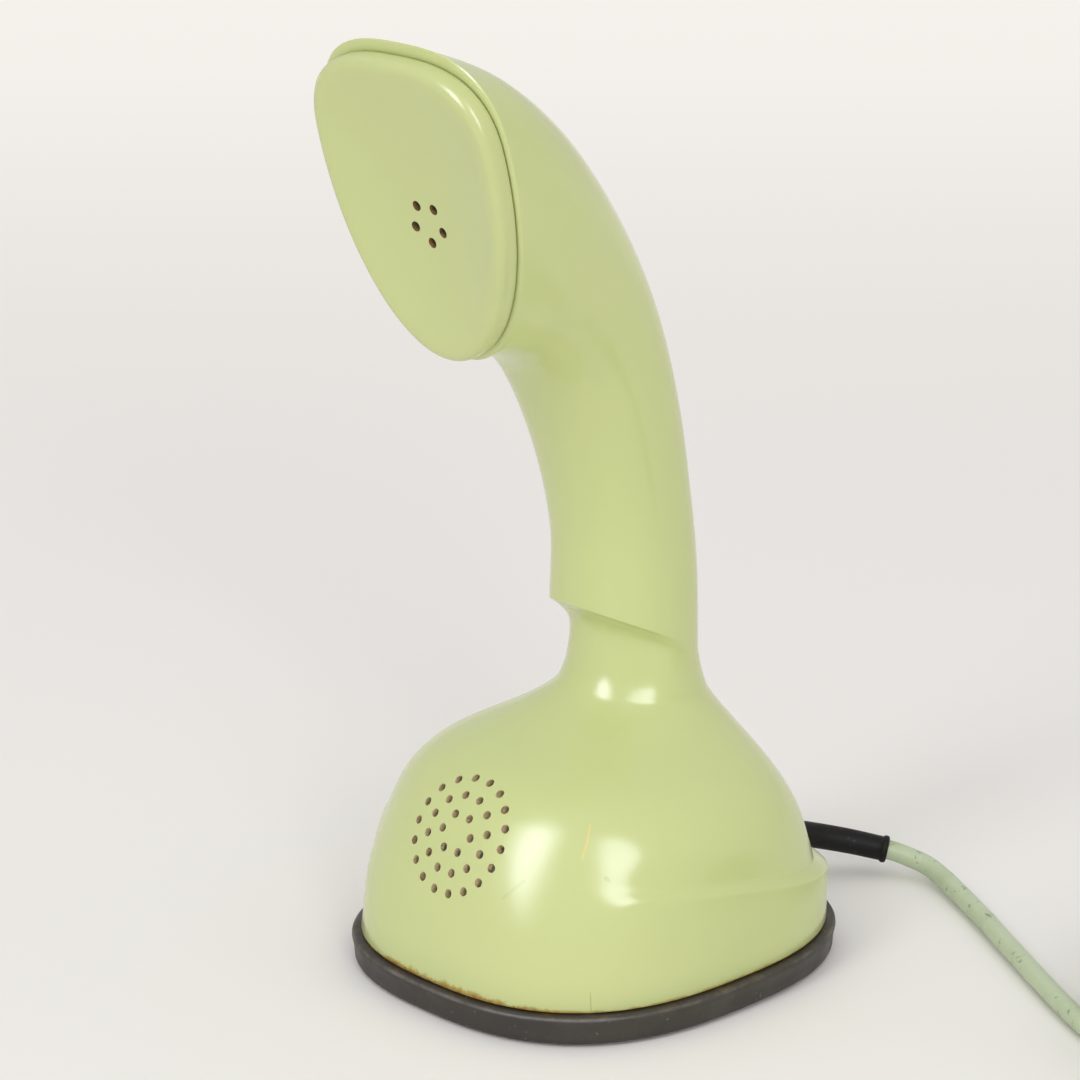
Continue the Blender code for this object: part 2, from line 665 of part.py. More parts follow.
LEDGE_SHARES = (
    (SKIRT_LEAN + LEDGE_FRONT - SKIRT_HALF_DEPTH) / HALF_DEPTH,
    CREASE_FRONT / HEIGHT,
    (SKIRT_HALF_DEPTH - SKIRT_LEAN_SIDE - LEDGE_REAR) / HALF_DEPTH,
    CREASE_REAR / HEIGHT,
    (SKIRT_HALF_WIDTH - SKIRT_LEAN_SIDE - LEDGE_SIDE) / HALF_WIDTH,
    WIDEST_SHARE, 2.45, 2.5,
)
DOME = [station(row) for row in (LEDGE_SHARES, *DOME_SHARES, HANDLE_SHARES[0])]
HANDLE = [station(row) for row in HANDLE_SHARES]
RIM = HANDLE[-1]
RECEIVER_RADIUS = RIM[4] * RECEIVER_SHARE


def shell_rings():
    """The outside from the foot up to the rim, then the inside down again."""
    outside = [skirt_level(share, SKIRT_HALF_WIDTH, SKIRT_HALF_DEPTH) for share in (0, 0.5, 1)]
    outside += [ring_of(row) for row in spline(DOME)[:-1]]
    outside += [ring_of(row) for row in spline(HANDLE)]
    low = [inset(DOME, index, WALL) for index in range(DOME_INNER + 1)]
    high = [inset(HANDLE, index, WALL) for index in range(1, len(HANDLE) - 1)]
    high.append(moved_rim(WALL))
    inside = [ring_of(row) for row in [*low, *high]]
    foot = level(SKIRT_HALF_WIDTH - WALL, SKIRT_HALF_DEPTH - WALL, SKIRT_FOOT)
    return [*outside, *reversed(inside), foot]


def moved_rim(inward):
    """The rim's station made smaller all round."""
    front = Vector((RIM[0], RIM[1]))
    back = Vector((RIM[2], RIM[3]))
    along = (back - front).normalized()
    front += along * inward
    back -= along * inward
    return [front.x, front.y, back.x, back.y, RIM[4] - inward, *RIM[5:]]


RIM_FRONT = Vector((0, RIM[0], RIM[1]))
RIM_BACK = Vector((0, RIM[2], RIM[3]))
FACE_ALONG = (RIM_BACK - RIM_FRONT).normalized()
FACE_OUT = FACE_ALONG.cross(Vector((1, 0, 0)))
if FACE_OUT.y > 0:
    FACE_OUT.negate()
EAR_LIFT = CAP_HEIGHT - CAP_DISH
EAR = RIM_FRONT + (RIM_BACK - RIM_FRONT) * EAR_SHARE + FACE_OUT * EAR_LIFT
EAR_PLACE = facing(EAR, FACE_OUT)

MIC_LOW = Vector((0, DOME[0][0], DOME[0][1]))
MIC_STRETCH = Vector((0, DOME[1][0], DOME[1][1])) - MIC_LOW
MIC_INWARD = Vector((0, MIC_STRETCH.z, -MIC_STRETCH.y)).normalized()
MIC = MIC_LOW + MIC_STRETCH * MIC_RISE_SHARE + MIC_INWARD * MIC_SET_IN
MIC_TILT = math.atan2(MIC_STRETCH.y, MIC_STRETCH.z) - MIC_LESS_TILT
MIC_OUT = Vector((0, -math.cos(MIC_TILT), math.sin(MIC_TILT)))
MIC_PLACE = facing(MIC, MIC_OUT)


def ring_of_places(place, radius, count, start=0.0):
    """Matrices round a circle in the plane of this place."""
    places = []
    for index in range(count):
        angle = start + TURN * index / count
        places.append(place @ upright(radius * math.cos(angle), radius * math.sin(angle)))
    return places


def lug_places(height=0.0):
    places = []
    for side in (-1, 1):
        for end in (-1, 1):
            places.append(upright(side * LUG_AT.x, end * LUG_AT.y, height))
    return places


def outline_reach(angle, half_width, half_depth):
    """How far a level outline reaches from its middle in this direction."""
    across = abs(math.cos(angle)) / half_width
    along = abs(math.sin(angle)) / half_depth
    return (across ** OUTLINE_POWER + along ** OUTLINE_POWER) ** (-1 / OUTLINE_POWER)


def shell_lugs():
    """Four pegs for the base screws, each with a rib out to the skirt."""
    bm = bmesh.new()
    middle = PLATE_TOP + GAP + LUG_HEIGHT / 2
    wall = outline_reach(LUG_ANGLE, SKIRT_HALF_WIDTH - WALL, SKIRT_HALF_DEPTH - WALL)
    reach = wall + LUG_SINK - LUG_REACH
    for place in lug_places(middle):
        bmesh.ops.create_cone(bm, cap_ends=True, segments=12, radius1=LUG_RADIUS,
                              radius2=LUG_RADIUS, depth=LUG_HEIGHT, matrix=place)
    pegs = finish("shell_lug_pegs", bm, None, cutter=True)
    bm = bmesh.new()
    for place in lug_places(middle):
        at = place.translation
        angle = math.atan2(at.y, at.x)
        size = Matrix.Diagonal((reach, LUG_RIB, LUG_HEIGHT - STEP, 1))
        turn = Matrix.Rotation(angle, 4, "Z")
        bmesh.ops.create_cube(bm, size=1, matrix=place @ turn @ upright(reach / 2, 0) @ size)
    ribs = finish("shell_lug_ribs", bm, None, cutter=True)
    return pegs, ribs


def make_shell():
    """The one-piece plastic body: skirt, dome, neck, handle and head."""
    shell = loft("shell", shell_rings(), GREEN, closed=True)
    pegs, ribs = shell_lugs()
    boolean(shell, pegs, "UNION")
    boolean(shell, ribs, "UNION")
    screw_length = LUG_HEIGHT - STEP
    pilots = prisms("shell_screw_holes", lug_places(PLATE_TOP + screw_length / 2), BASE_SCREW + GAP,
                    screw_length, 10)
    boolean(shell, pilots, "DIFFERENCE")
    holes = []
    for index in range(MIC_RINGS):
        radius = MIC_RING_STEP * (index + 1)
        holes += ring_of_places(MIC_PLACE, radius, MIC_HOLES_IN_FIRST_RING * (index + 1), index / 2)
    grille = prisms("shell_grille_holes", holes, MIC_HOLE, MIC_RING_STEP * 5, MIC_HOLE_SIDES)
    boolean(shell, grille, "DIFFERENCE")
    across = Matrix.Rotation(TURN / 4, 4, "X")
    exit_at = upright(0, SKIRT_HALF_DEPTH, EXIT_HEIGHT) @ across
    hole = prisms("shell_cord_hole", [exit_at], RELIEF_ROOT + GAP, WALL * 6, 16)
    boolean(shell, hole, "DIFFERENCE")


def make_foot_ring():
    """The rubber ring that the telephone stands on."""
    outer = [(FOOT_ROUND, 0), (0, FOOT_ROUND), (0, FOOT_HEIGHT - FOOT_ROUND), (FOOT_ROUND, FOOT_HEIGHT)]
    rings = [level(HALF_WIDTH - back, HALF_DEPTH - back, height) for back, height in outer]
    for height in (FOOT_HEIGHT, 0):
        rings.append(level(HALF_WIDTH - FOOT_WALL, HALF_DEPTH - FOOT_WALL, height))
    loft("foot_ring", rings, RUBBER, closed=True)


def make_base_plate():
    """The plate that closes the body, with a rim inside the foot ring and the dial's opening."""
    wide = SKIRT_HALF_WIDTH - WALL - PLATE_PLAY
    deep = SKIRT_HALF_DEPTH - WALL - PLATE_PLAY
    rim_wide = HALF_WIDTH - FOOT_WALL - GAP
    rim_deep = HALF_DEPTH - FOOT_WALL - GAP
    rim_floor = SKIRT_FOOT - PLATE_RIM_DROP
    inner_wide = rim_wide - PLATE_RIM_WALL
    inner_deep = rim_deep - PLATE_RIM_WALL
    rings = [
        level(DIAL_OPENING, DIAL_OPENING, PLATE_TOP, 2),
        level(wide, deep, PLATE_TOP),
        level(wide, deep, SKIRT_FOOT),
        level(rim_wide, rim_deep, SKIRT_FOOT),
        level(rim_wide, rim_deep, rim_floor),
        level(inner_wide, inner_deep, rim_floor),
        level(inner_wide, inner_deep, SKIRT_FOOT),
        level(DIAL_OPENING, DIAL_OPENING, SKIRT_FOOT, 2),
    ]
    plate = loft("base_plate", rings, BLACK, closed=True)
    holes = prisms("base_screw_holes", lug_places(SKIRT_FOOT), BASE_SCREW + GAP, PLATE * 4, 10)
    boolean(plate, holes, "DIFFERENCE")


def make_base_screws():
    """Four screws from below into the body's lugs."""
    head_top = SKIRT_FOOT - GAP
    tip = head_top + BASE_SCREW_LENGTH
    head = head_top - BASE_SCREW_HEAD_HEIGHT
    profile = [(0, head), (BASE_SCREW_HEAD, head), (BASE_SCREW_HEAD, head_top), (BASE_SCREW, head_top),
               (BASE_SCREW, tip), (0, tip)]
    for number, place in enumerate(lug_places(), 1):
        turned(f"base_screw_{number}", profile, STEEL, 12, place)


def cap_ring(inward, lift, scale=1.0):
    """A ring of the earpiece cap, this far inside the rim and in front of it."""
    centre = EAR + FACE_OUT * (lift - EAR_LIFT)
    points = [point + FACE_OUT * lift for point in ring_of(moved_rim(inward))]
    return [centre + (point - centre) * scale for point in points]


def make_ear_cap():
    """The dished cap of the earpiece, with a spigot into the head and a socket for the capsule."""
    face = CAP_SET_IN + CAP_FACE_INSET
    spigot = WALL + CAP_PLAY
    inner = spigot + CAP_SPIGOT
    shares = (0.25, 0.5, 0.75)
    front = [(face, CAP_HEIGHT - CAP_DISH * (1 - share ** 2), share) for share in shares]
    rows = [
        *front,
        (face, CAP_HEIGHT, 1),
        (CAP_SET_IN + CAP_EDGE * 0.8, CAP_HEIGHT - CAP_EDGE * 0.05, 1),
        (CAP_SET_IN + CAP_EDGE * 0.3, CAP_HEIGHT - CAP_EDGE * 0.35, 1),
        (CAP_SET_IN, CAP_HEIGHT - CAP_EDGE, 1),
        (CAP_SET_IN, CAP_JOINT + GAP, 1),
        (CAP_SET_IN + GAP, CAP_JOINT, 1),
        (spigot, CAP_JOINT, 1),
        (spigot, -CAP_SPIGOT_DEPTH, 1),
        (inner, -CAP_SPIGOT_DEPTH, 1),
        (inner, CAP_HEIGHT - CAP_FACE_WALL - GAP, 1),
    ]
    rows += [(face, lift - CAP_FACE_WALL, share) for face, lift, share in reversed(front[1:])]
    rings = [cap_ring(*row) for row in rows]
    back = EAR - FACE_OUT * CAP_FACE_WALL
    cap = loft("ear_cap", rings, GREEN, centres=[EAR, back])
    bore = RECEIVER_RADIUS + GAP
    socket = disc("ear_cap_socket", bore + SOCKET_WALL, bore, -RECEIVER_DEPTH, -GAP, None, 24,
                  EAR_PLACE, cutter=True)
    boolean(cap, socket, "UNION")
    places = ring_of_places(EAR_PLACE, EAR_HOLE_RING, EAR_HOLES, -TURN / 4)
    holes = prisms("ear_cap_holes", places, EAR_HOLE, CAP_HEIGHT * 2, EAR_HOLE_SIDES)
    boolean(cap, holes, "DIFFERENCE")


def make_receiver():
    """The capsule that sounds at the ear: a metal cup with a diaphragm, kept by a screwed ring."""
    front = -CAP_FACE_WALL - GAP
    back = front - RECEIVER_DEPTH
    cup_floor = front - RECEIVER_CUP
    step = RECEIVER_RADIUS - RECEIVER_RIM
    profile = [(0, back), (RECEIVER_RADIUS, back), (RECEIVER_RADIUS, front), (step, front),
               (step, cup_floor), (0, cup_floor)]
    turned("receiver_capsule", profile, ALUMINIUM, 24, EAR_PLACE)
    film = [(0, cup_floor + GAP), (step - GAP, cup_floor + GAP),
            (step - GAP, cup_floor + GAP + DIAPHRAGM), (0, cup_floor + GAP + DIAPHRAGM)]
    turned("receiver_diaphragm", film, STEEL, 24, EAR_PLACE)
    ring_top = back - GAP
    disc("receiver_ring", RECEIVER_RADIUS + SOCKET_WALL, RECEIVER_RING_BORE, ring_top - RECEIVER_RING,
         ring_top, BRASS, 24, EAR_PLACE)


def make_transmitter():
    """The microphone capsule behind the grille, on felt, in a holder that stands on the base plate."""
    felt_back = -FELT_SET_BACK - FELT
    front = felt_back - GAP
    back = front - TRANSMITTER_DEPTH
    disc("transmitter_felt", TRANSMITTER_RADIUS, TRANSMITTER_RADIUS - FELT_RING, felt_back,
         -FELT_SET_BACK, FELT_GREY, 24, MIC_PLACE)
    profile = [(0, back), (TRANSMITTER_RADIUS, back), (TRANSMITTER_RADIUS, front), (0, front)]
    turned("transmitter_capsule", profile, ALUMINIUM, 24, MIC_PLACE)
    bore = TRANSMITTER_RADIUS + GAP
    cup_floor = back - GAP - HOLDER_WALL
    cup = [(0, cup_floor), (bore + HOLDER_WALL, cup_floor), (bore + HOLDER_WALL, front), (0, front)]
    holder = turned("transmitter_holder", cup, BAKELITE, 24, MIC_PLACE)
    spans = []
    edge = MIC_PLACE @ Vector((0, -bore - HOLDER_WALL, front - TRANSMITTER_DEPTH / 2))
    for side in (-1, 1):
        left = side * HOLDER_LEG_SPREAD - HOLDER_LEG_WIDTH / 2
        low = Vector((left, edge.y + HOLDER_LEG_IN, PLATE_TOP + GAP))
        high = low + Vector((HOLDER_LEG_WIDTH, HOLDER_LEG_THICK, 0))
        high.z = edge.z + HOLDER_LEG_OVER
        spans.append((low, high))
    legs = boxes("holder_legs", spans, None, cutter=True)
    boolean(holder, legs, "UNION")
    hollow = [(0, cup_floor + HOLDER_WALL), (bore, cup_floor + HOLDER_WALL), (bore, front + OVERRUN),
              (0, front + OVERRUN)]
    hollow = turned("holder_hollow", hollow, None, 24, MIC_PLACE, cutter=True)
    boolean(holder, hollow, "DIFFERENCE")


# Dial

def make_finger_wheel():
    """The turning disc with ten finger holes and a cupped hub for the hook button."""
    hub_in = HUB_RADIUS - HUB_WALL
    bore = ROD_RADIUS + STEP
    floor = HUB_TOP - HUB_FLOOR
    profile = [(bore, floor), (hub_in, floor), (hub_in, WHEEL_CLEAR), (WHEEL_RADIUS, WHEEL_CLEAR),
               (WHEEL_RADIUS, WHEEL_TOP), (HUB_RADIUS, WHEEL_TOP), (HUB_RADIUS, HUB_TOP), (bore, HUB_TOP)]
    wheel = turned("finger_wheel", profile, BLACK, 36)
    places = []
    for index in range(FINGER_HOLES):
        angle = STOP_ANGLE + FINGER_STEP * (index + 1)
        places.append(upright(FINGER_RING * math.cos(angle), FINGER_RING * math.sin(angle), WHEEL_CLEAR))
    holes = prisms("finger_holes", places, FINGER_HOLE, WHEEL_THICK * 6, 12)
    boolean(wheel, holes, "DIFFERENCE")


def make_number_plate():
    """The fixed ring of numbers behind the finger wheel, hung from the dial frame on three posts."""
    floor = WHEEL_TOP + NUMBER_CLEAR
    top = floor + NUMBER_PLATE
    plate = disc("dial_number_plate", NUMBER_RADIUS, HUB_RADIUS + PLAY, floor, top, WHITE, 32)
    top = FRAME_FLOOR - GAP
    length = top - floor - GAP
    places = ring_of_places(upright(0, 0, top - length / 2), DIAL_OPENING - NUMBER_POST_IN, 3, TURN / 12)
    posts = prisms("number_plate_posts", places, NUMBER_POST, length, 12)
    boolean(plate, posts, "UNION")


def make_finger_stop():
    """The tongue that stops the finger, on a post from the base plate."""
    turn = Matrix.Rotation(STOP_ANGLE, 4, "Z")
    low = Vector((STOP_RING - STOP_REACH, -STOP_WIDTH / 2, STOP_CLEAR))
    high = Vector((STOP_RING + STOP_POST, STOP_WIDTH / 2, STOP_CLEAR + STOP_THICK))
    stop = boxes("finger_stop", [(low, high)], STEEL, edge=STOP_EDGE, place=turn)
    top = SKIRT_FOOT - GAP
    floor = STOP_CLEAR + STOP_THICK / 2
    place = turn @ upright(STOP_RING, 0, (top + floor) / 2)
    post = prisms("finger_stop_post", [place], STOP_POST, top - floor, 12)
    boolean(stop, post, "UNION")


def make_dial_frame():
    """The round plate that carries the works, with three pillars for the bridge."""
    frame = disc("dial_frame", FRAME_RADIUS, BUSH_RADIUS + GAP, FRAME_FLOOR, FRAME_TOP, STEEL, 32)
    length = WORKS_HEIGHT + SINK
    places = []
    for angle in PILLAR_ANGLES:
        places.append(upright(PILLAR_RING * math.cos(angle), PILLAR_RING * math.sin(angle),
                              FRAME_TOP + WORKS_HEIGHT - length / 2))
    pillars = prisms("dial_frame_pillars", places, PILLAR_RADIUS, length, 12)
    boolean(frame, pillars, "UNION")


def make_dial_bearing():
    """The bush in the frame, and the hollow shaft that the hook rod passes through."""
    floor = HUB_TOP + PLAY
    flange_floor = FRAME_TOP + GAP
    top = flange_floor + STEP
    profile = [(BUSH_BORE, floor), (BUSH_RADIUS, floor), (BUSH_RADIUS, flange_floor),
               (BUSH_RADIUS + BUSH_FLANGE, flange_floor), (BUSH_RADIUS + BUSH_FLANGE, top), (BUSH_BORE, top)]
    turned("dial_bush", profile, BRASS, 16)
    disc("dial_shaft", SHAFT_RADIUS, SHAFT_BORE, HUB_TOP + GAP, SHAFT_TOP, STEEL, 16)


def gear(name, teeth, module, bore, place, shade, start=0.0):
    """A flat gear with tapered teeth and a round bore, resting on the height of its place."""
    pitch = teeth * module / 2
    root = pitch - module * ROOT_SHARE
    tip = pitch + module * CREST_SHARE
    step = TURN / teeth
    points = []
    for index in range(teeth):
        angle = start + index * step
        for radius, offset in ((root, -TOOTH_SHARE), (tip, -TIP_SHARE), (tip, TIP_SHARE), (root, TOOTH_SHARE)):
            turn = angle + offset * step
            points.append((radius * math.cos(turn), radius * math.sin(turn)))
    bm = bmesh.new()
    low = [bm.verts.new((x, y, 0)) for x, y in points]
    high = [bm.verts.new((x, y, GEAR_THICK)) for x, y in points]
    bm.faces.new(low)
    bm.faces.new(high)
    for index, point in enumerate(low):
        after = (index + 1) % len(low)
        bm.faces.new((point, low[after], high[after], high[index]))
    made = finish(name, bm, shade)
    made.matrix_local = place
    hole = prisms(name + "_bore", [place @ upright(0, 0, GEAR_THICK / 2)], bore, GEAR_THICK * 3, 12)
    boolean(made, hole, "DIFFERENCE")


def make_gear_train():
    """Dial shaft to impulse shaft to governor, with teeth set half a step apart where they meet."""
    main_floor = FRAME_TOP + MAIN_LIFT
    idler_floor = FRAME_TOP + IDLER_LIFT
    bore = ARBOR_RADIUS + GAP
    gear("main_gear", MAIN_TEETH, DIAL_MODULE, BUSH_BORE, upright(0, 0, main_floor), BRASS, IMPULSE_ANGLE)
    half_pinion = TURN / PINION_TEETH / 2
    gear("impulse_pinion", PINION_TEETH, DIAL_MODULE, bore, upright(IMPULSE_AT.x, IMPULSE_AT.y, main_floor),
         STEEL, IMPULSE_ANGLE + TURN / 2 + half_pinion)
    gear("impulse_wheel", IDLER_TEETH, GOVERNOR_MODULE, bore,
         upright(IMPULSE_AT.x, IMPULSE_AT.y, idler_floor), BRASS, GOVERNOR_ANGLE)
    half_governor = TURN / GOVERNOR_TEETH / 2
    gear("governor_pinion", GOVERNOR_TEETH, GOVERNOR_MODULE, bore,
         upright(GOVERNOR_AT.x, GOVERNOR_AT.y, idler_floor), STEEL, GOVERNOR_ANGLE + TURN / 2 + half_governor)


def make_shafts():
    """The two small shafts between the frame and the bridge, with their cam, weight and cup."""
    floor = FRAME_TOP + GAP
    top = BRIDGE_FLOOR - GAP
    bore = ARBOR_RADIUS + GAP
    for name, at in (("impulse_shaft", IMPULSE_AT), ("governor_shaft", GOVERNOR_AT)):
        profile = [(0, floor), (ARBOR_RADIUS, floor), (ARBOR_RADIUS, top), (0, top)]
        turned(name, profile, STEEL, 12, upright(at.x, at.y))
    cam_floor = FRAME_TOP + CAM_LIFT
    cam = disc("impulse_cam", CAM_RADIUS, bore, cam_floor, cam_floor + CAM_THICK, BAKELITE, 20,
               upright(IMPULSE_AT.x, IMPULSE_AT.y))
    reach = CAM_RADIUS + OVERRUN
    spans = []
    for side in (-1, 1):
        near = side * (CAM_RADIUS - CAM_FLAT)
        far = side * reach
        low = Vector((min(near, far), -reach, cam_floor - OVERRUN))
        high = Vector((max(near, far), reach, cam_floor + CAM_THICK + OVERRUN))
        spans.append((low, high))
    flats = boxes("cam_flats", spans, None, cutter=True, place=upright(IMPULSE_AT.x, IMPULSE_AT.y))
    boolean(cam, flats, "DIFFERENCE")
    cup = GOVERNOR_CUP - GOVERNOR_CUP_WALL
    disc("governor_cup", GOVERNOR_CUP, cup, floor, floor + GOVERNOR_CUP_HEIGHT, BRASS, 16,
         upright(GOVERNOR_AT.x, GOVERNOR_AT.y))
    weight_floor = floor + STEP
    low = Vector((-GOVERNOR_ARM, -GOVERNOR_WEIGHT, weight_floor))
    high = Vector((GOVERNOR_ARM, GOVERNOR_WEIGHT, weight_floor + GOVERNOR_WEIGHT))
    place = upright(GOVERNOR_AT.x, GOVERNOR_AT.y)
    weight = boxes("governor_weight", [(low, high)], BRASS, edge=EDGE, place=place)
    hole = prisms("weight_bore", [place @ upright(0, 0, weight_floor)], bore, GOVERNOR_WEIGHT * 4, 12)
    boolean(weight, hole, "DIFFERENCE")


def make_return_spring():
    """The flat spiral spring that winds up as a number is dialled."""
    floor = FRAME_TOP + SPRING_LIFT
    per_turn = 12
    count = SPRING_TURNS * per_turn
    rings = []
    for index in range(count + 1):
        angle = TURN * index / per_turn
        radius = SPRING_BORE + (SPRING_RADIUS - SPRING_BORE) * index / count
        ring = []
        for out, up in ((0, 0), (SPRING_STRIP, 0), (SPRING_STRIP, SPRING_WIDTH), (0, SPRING_WIDTH)):
            reach = radius + out
            ring.append(Vector((reach * math.cos(angle), reach * math.sin(angle), floor + up)))
        rings.append(ring)
    print("return spring: least gap between turns",
          round((SPRING_RADIUS - SPRING_BORE) / SPRING_TURNS / MM - SPRING_STRIP / MM, 2), "mm")
    bm = bmesh.new()
    grid = [[bm.verts.new(point) for point in ring] for ring in rings]
    for low, high in zip(grid, grid[1:]):
        for index, point in enumerate(low):
            after = (index + 1) % 4
            bm.faces.new((point, low[after], high[after], high[index]))
    bm.faces.new(grid[0])
    bm.faces.new(grid[-1])
    finish("return_spring", bm, STEEL)


def make_contacts():
    """The block beside the cam and its two spring blades."""
    at = IMPULSE_AT + CONTACT_SHARES * FRAME_RADIUS
    middle = Vector((at.x, at.y, WORKS_FLOOR + CONTACT_BLOCK.z / 2))
    box("contact_block", middle, CONTACT_BLOCK, BAKELITE)
    start = at.y + CONTACT_BLOCK.y / 2 + GAP
    floor = FRAME_TOP + CAM_LIFT
    for number in (1, 2):
        x = IMPULSE_AT.x + CAM_RADIUS + CONTACT_BLADE_GAP * number
        low = Vector((x, start, floor))
        high = Vector((x + CONTACT_BLADE, IMPULSE_AT.y, floor + CONTACT_BLADE_WIDTH))
        boxes(f"contact_blade_{number}", [(low, high)], BRASS)


def make_bridge():
    """The upper plate of the works, which the hook switch stands on."""
    place = upright(BRIDGE_SET, BRIDGE_SET)
    profile = [(0, BRIDGE_FLOOR), (BRIDGE_RADIUS, BRIDGE_FLOOR), (BRIDGE_RADIUS, BRIDGE_TOP), (0, BRIDGE_TOP)]
    bridge = turned("dial_bridge", profile, STEEL, 28, place)
    hole = prisms("bridge_bore", [upright(0, 0, BRIDGE_TOP)], BUSH_BORE, BRIDGE_THICK * 6, 20)
    boolean(bridge, hole, "DIFFERENCE")


# Hook switch

def make_hook_button():
    """The button at the middle of the dial, which the table pushes in, with its spring and rod."""
    floor = BUTTON_REST
    top = floor + BUTTON_HEIGHT
    groove = floor + BUTTON_FACE
    inner = BUTTON_RADIUS - BUTTON_WALL
    boss = ROD_RADIUS + BUTTON_BOSS
    profile = [(0, floor), (BUTTON_RADIUS - EDGE, floor), (BUTTON_RADIUS, floor + EDGE),
               (BUTTON_RADIUS, top), (inner, top), (inner, groove), (boss, groove), (boss, top), (0, top)]
    turned("hook_button", profile, RED, 20)
    rod_floor = top + GAP
    rod = [(0, rod_floor), (ROD_RADIUS, rod_floor), (ROD_RADIUS, ROD_TOP - ROD_TAPER),
           (ROD_TIP, ROD_TOP), (0, ROD_TOP)]
    turned("hook_rod", rod, STEEL, 16)
    coil_radius = HOOK_SPRING_WIRE / 2
    low = groove + GAP + coil_radius
    high = HUB_TOP - HUB_FLOOR - GAP - coil_radius
    per_turn = 12
    count = HOOK_SPRING_TURNS * per_turn
    points = []
    for index in range(count + 1):
        angle = TURN * index / per_turn
        height = low + (high - low) * index / count
        points.append(Vector((HOOK_SPRING_RADIUS * math.cos(angle), HOOK_SPRING_RADIUS * math.sin(angle), height)))
    print("hook spring: least gap between turns",
          round((high - low) / HOOK_SPRING_TURNS / MM - HOOK_SPRING_WIRE / MM, 2), "mm")
    tube("hook_spring", points, coil_radius, STEEL)


def make_hook_lever():
    """The bracket on the bridge, the lever that rests on the rod, and the pin it turns on."""
    half = LEVER_WIDTH / 2
    floor = BRIDGE_TOP + GAP
    cheek_in = half + STEP
    cheek_out = cheek_in + CHEEK
    pivot_x = -LEVER_ARM
    low = pivot_x - BRACKET_LENGTH / 2
    high = pivot_x + BRACKET_LENGTH / 2
    base_top = floor + BRACKET_BASE
    bracket = boxes("hook_bracket", [(Vector((low, -cheek_out, floor)), Vector((high, cheek_out, base_top)))],
                    STEEL)
    spans = []
    for side in (-1, 1):
        near = min(side * cheek_in, side * cheek_out)
        spans.append((Vector((low, near, floor + BRACKET_BASE / 2)),
                      Vector((high, near + CHEEK, LEVER_MIDDLE + LEVER_EYE))))
    cheeks = boxes("hook_bracket_cheeks", spans, None, cutter=True)
    boolean(bracket, cheeks, "UNION")
    across = Matrix.Rotation(TURN / 4, 4, "X")
    pivot = upright(pivot_x, 0, LEVER_MIDDLE) @ across
    bore = PIN_RADIUS + GAP
    holes = prisms("hook_bracket_holes", [pivot], bore, cheek_out * 3, 12)
    boolean(bracket, holes, "DIFFERENCE")
    reach = cheek_out + PIN_END
    pin = [(0, -reach), (PIN_RADIUS, -reach), (PIN_RADIUS, reach), (0, reach)]
    turned("hook_pivot_pin", pin, STEEL, 12, pivot)
    eye = [(0, -half), (LEVER_EYE, -half), (LEVER_EYE, half), (0, half)]
    lever = turned("hook_lever", eye, STEEL, 16, pivot)
    arm = boxes("hook_lever_arm", [(Vector((pivot_x + LEVER_EYE / 2, GAP - half, LEVER_FLOOR)),
                                    Vector((LEVER_OVER, half - GAP, LEVER_FLOOR + LEVER_THICK)))],
                None, cutter=True)
    boolean(lever, arm, "UNION")
    hole = prisms("hook_lever_bore", [pivot], bore, LEVER_WIDTH * 2, 12)
    boolean(lever, hole, "DIFFERENCE")


def make_switch():
    """The hook switch: a block of blades over the lever."""
    floor = BRIDGE_TOP + GAP
    low = Vector((-SWITCH_REACH, -SWITCH_BLOCK.y / 2, floor))
    boxes("hook_switch_block", [(low, low + SWITCH_BLOCK)], BAKELITE, edge=EDGE)
    start = -SWITCH_REACH + SWITCH_BLOCK.x + GAP
    height = LEVER_MIDDLE + LEVER_EYE + SWITCH_CLEAR
    for number in range(SWITCH_BLADES):
        low = Vector((start, -SWITCH_BLADE_WIDTH / 2, height + SWITCH_BLADE_STEP * number))
        high = low + Vector((0, SWITCH_BLADE_WIDTH, SWITCH_BLADE))
        high.x = LEVER_OVER
        boxes(f"hook_switch_blade_{number + 1}", [(low, high)], BRASS)


# Pieces that stand on the dial frame

def make_induction_coil():
    """An iron core in a wound bobbin, lying along the left side."""
    along = Matrix.Rotation(-TURN / 4, 4, "X")
    place = upright(COIL_AXIS.x, COIL_AXIS.y, WORKS_FLOOR + BOBBIN_FLANGE) @ along
    half = BOBBIN_LENGTH / 2
    inside = half - BOBBIN_CHEEK
    bobbin = [(BOBBIN_BORE, -half), (BOBBIN_FLANGE, -half), (BOBBIN_FLANGE, -inside), (BOBBIN_CORE, -inside),
              (BOBBIN_CORE, inside), (BOBBIN_FLANGE, inside), (BOBBIN_FLANGE, half), (BOBBIN_BORE, half)]
    turned("coil_bobbin", bobbin, BAKELITE, 16, place)
    end = inside - GAP
    disc("coil_winding", WINDING_RADIUS, BOBBIN_CORE + GAP, -end, end, COPPER, 16, place)
    core = half + CORE_OVER
    radius = BOBBIN_BORE - GAP
    profile = [(0, -core), (radius, -core), (radius, core), (0, core)]
    turned("coil_core", profile, STEEL, 12, place)


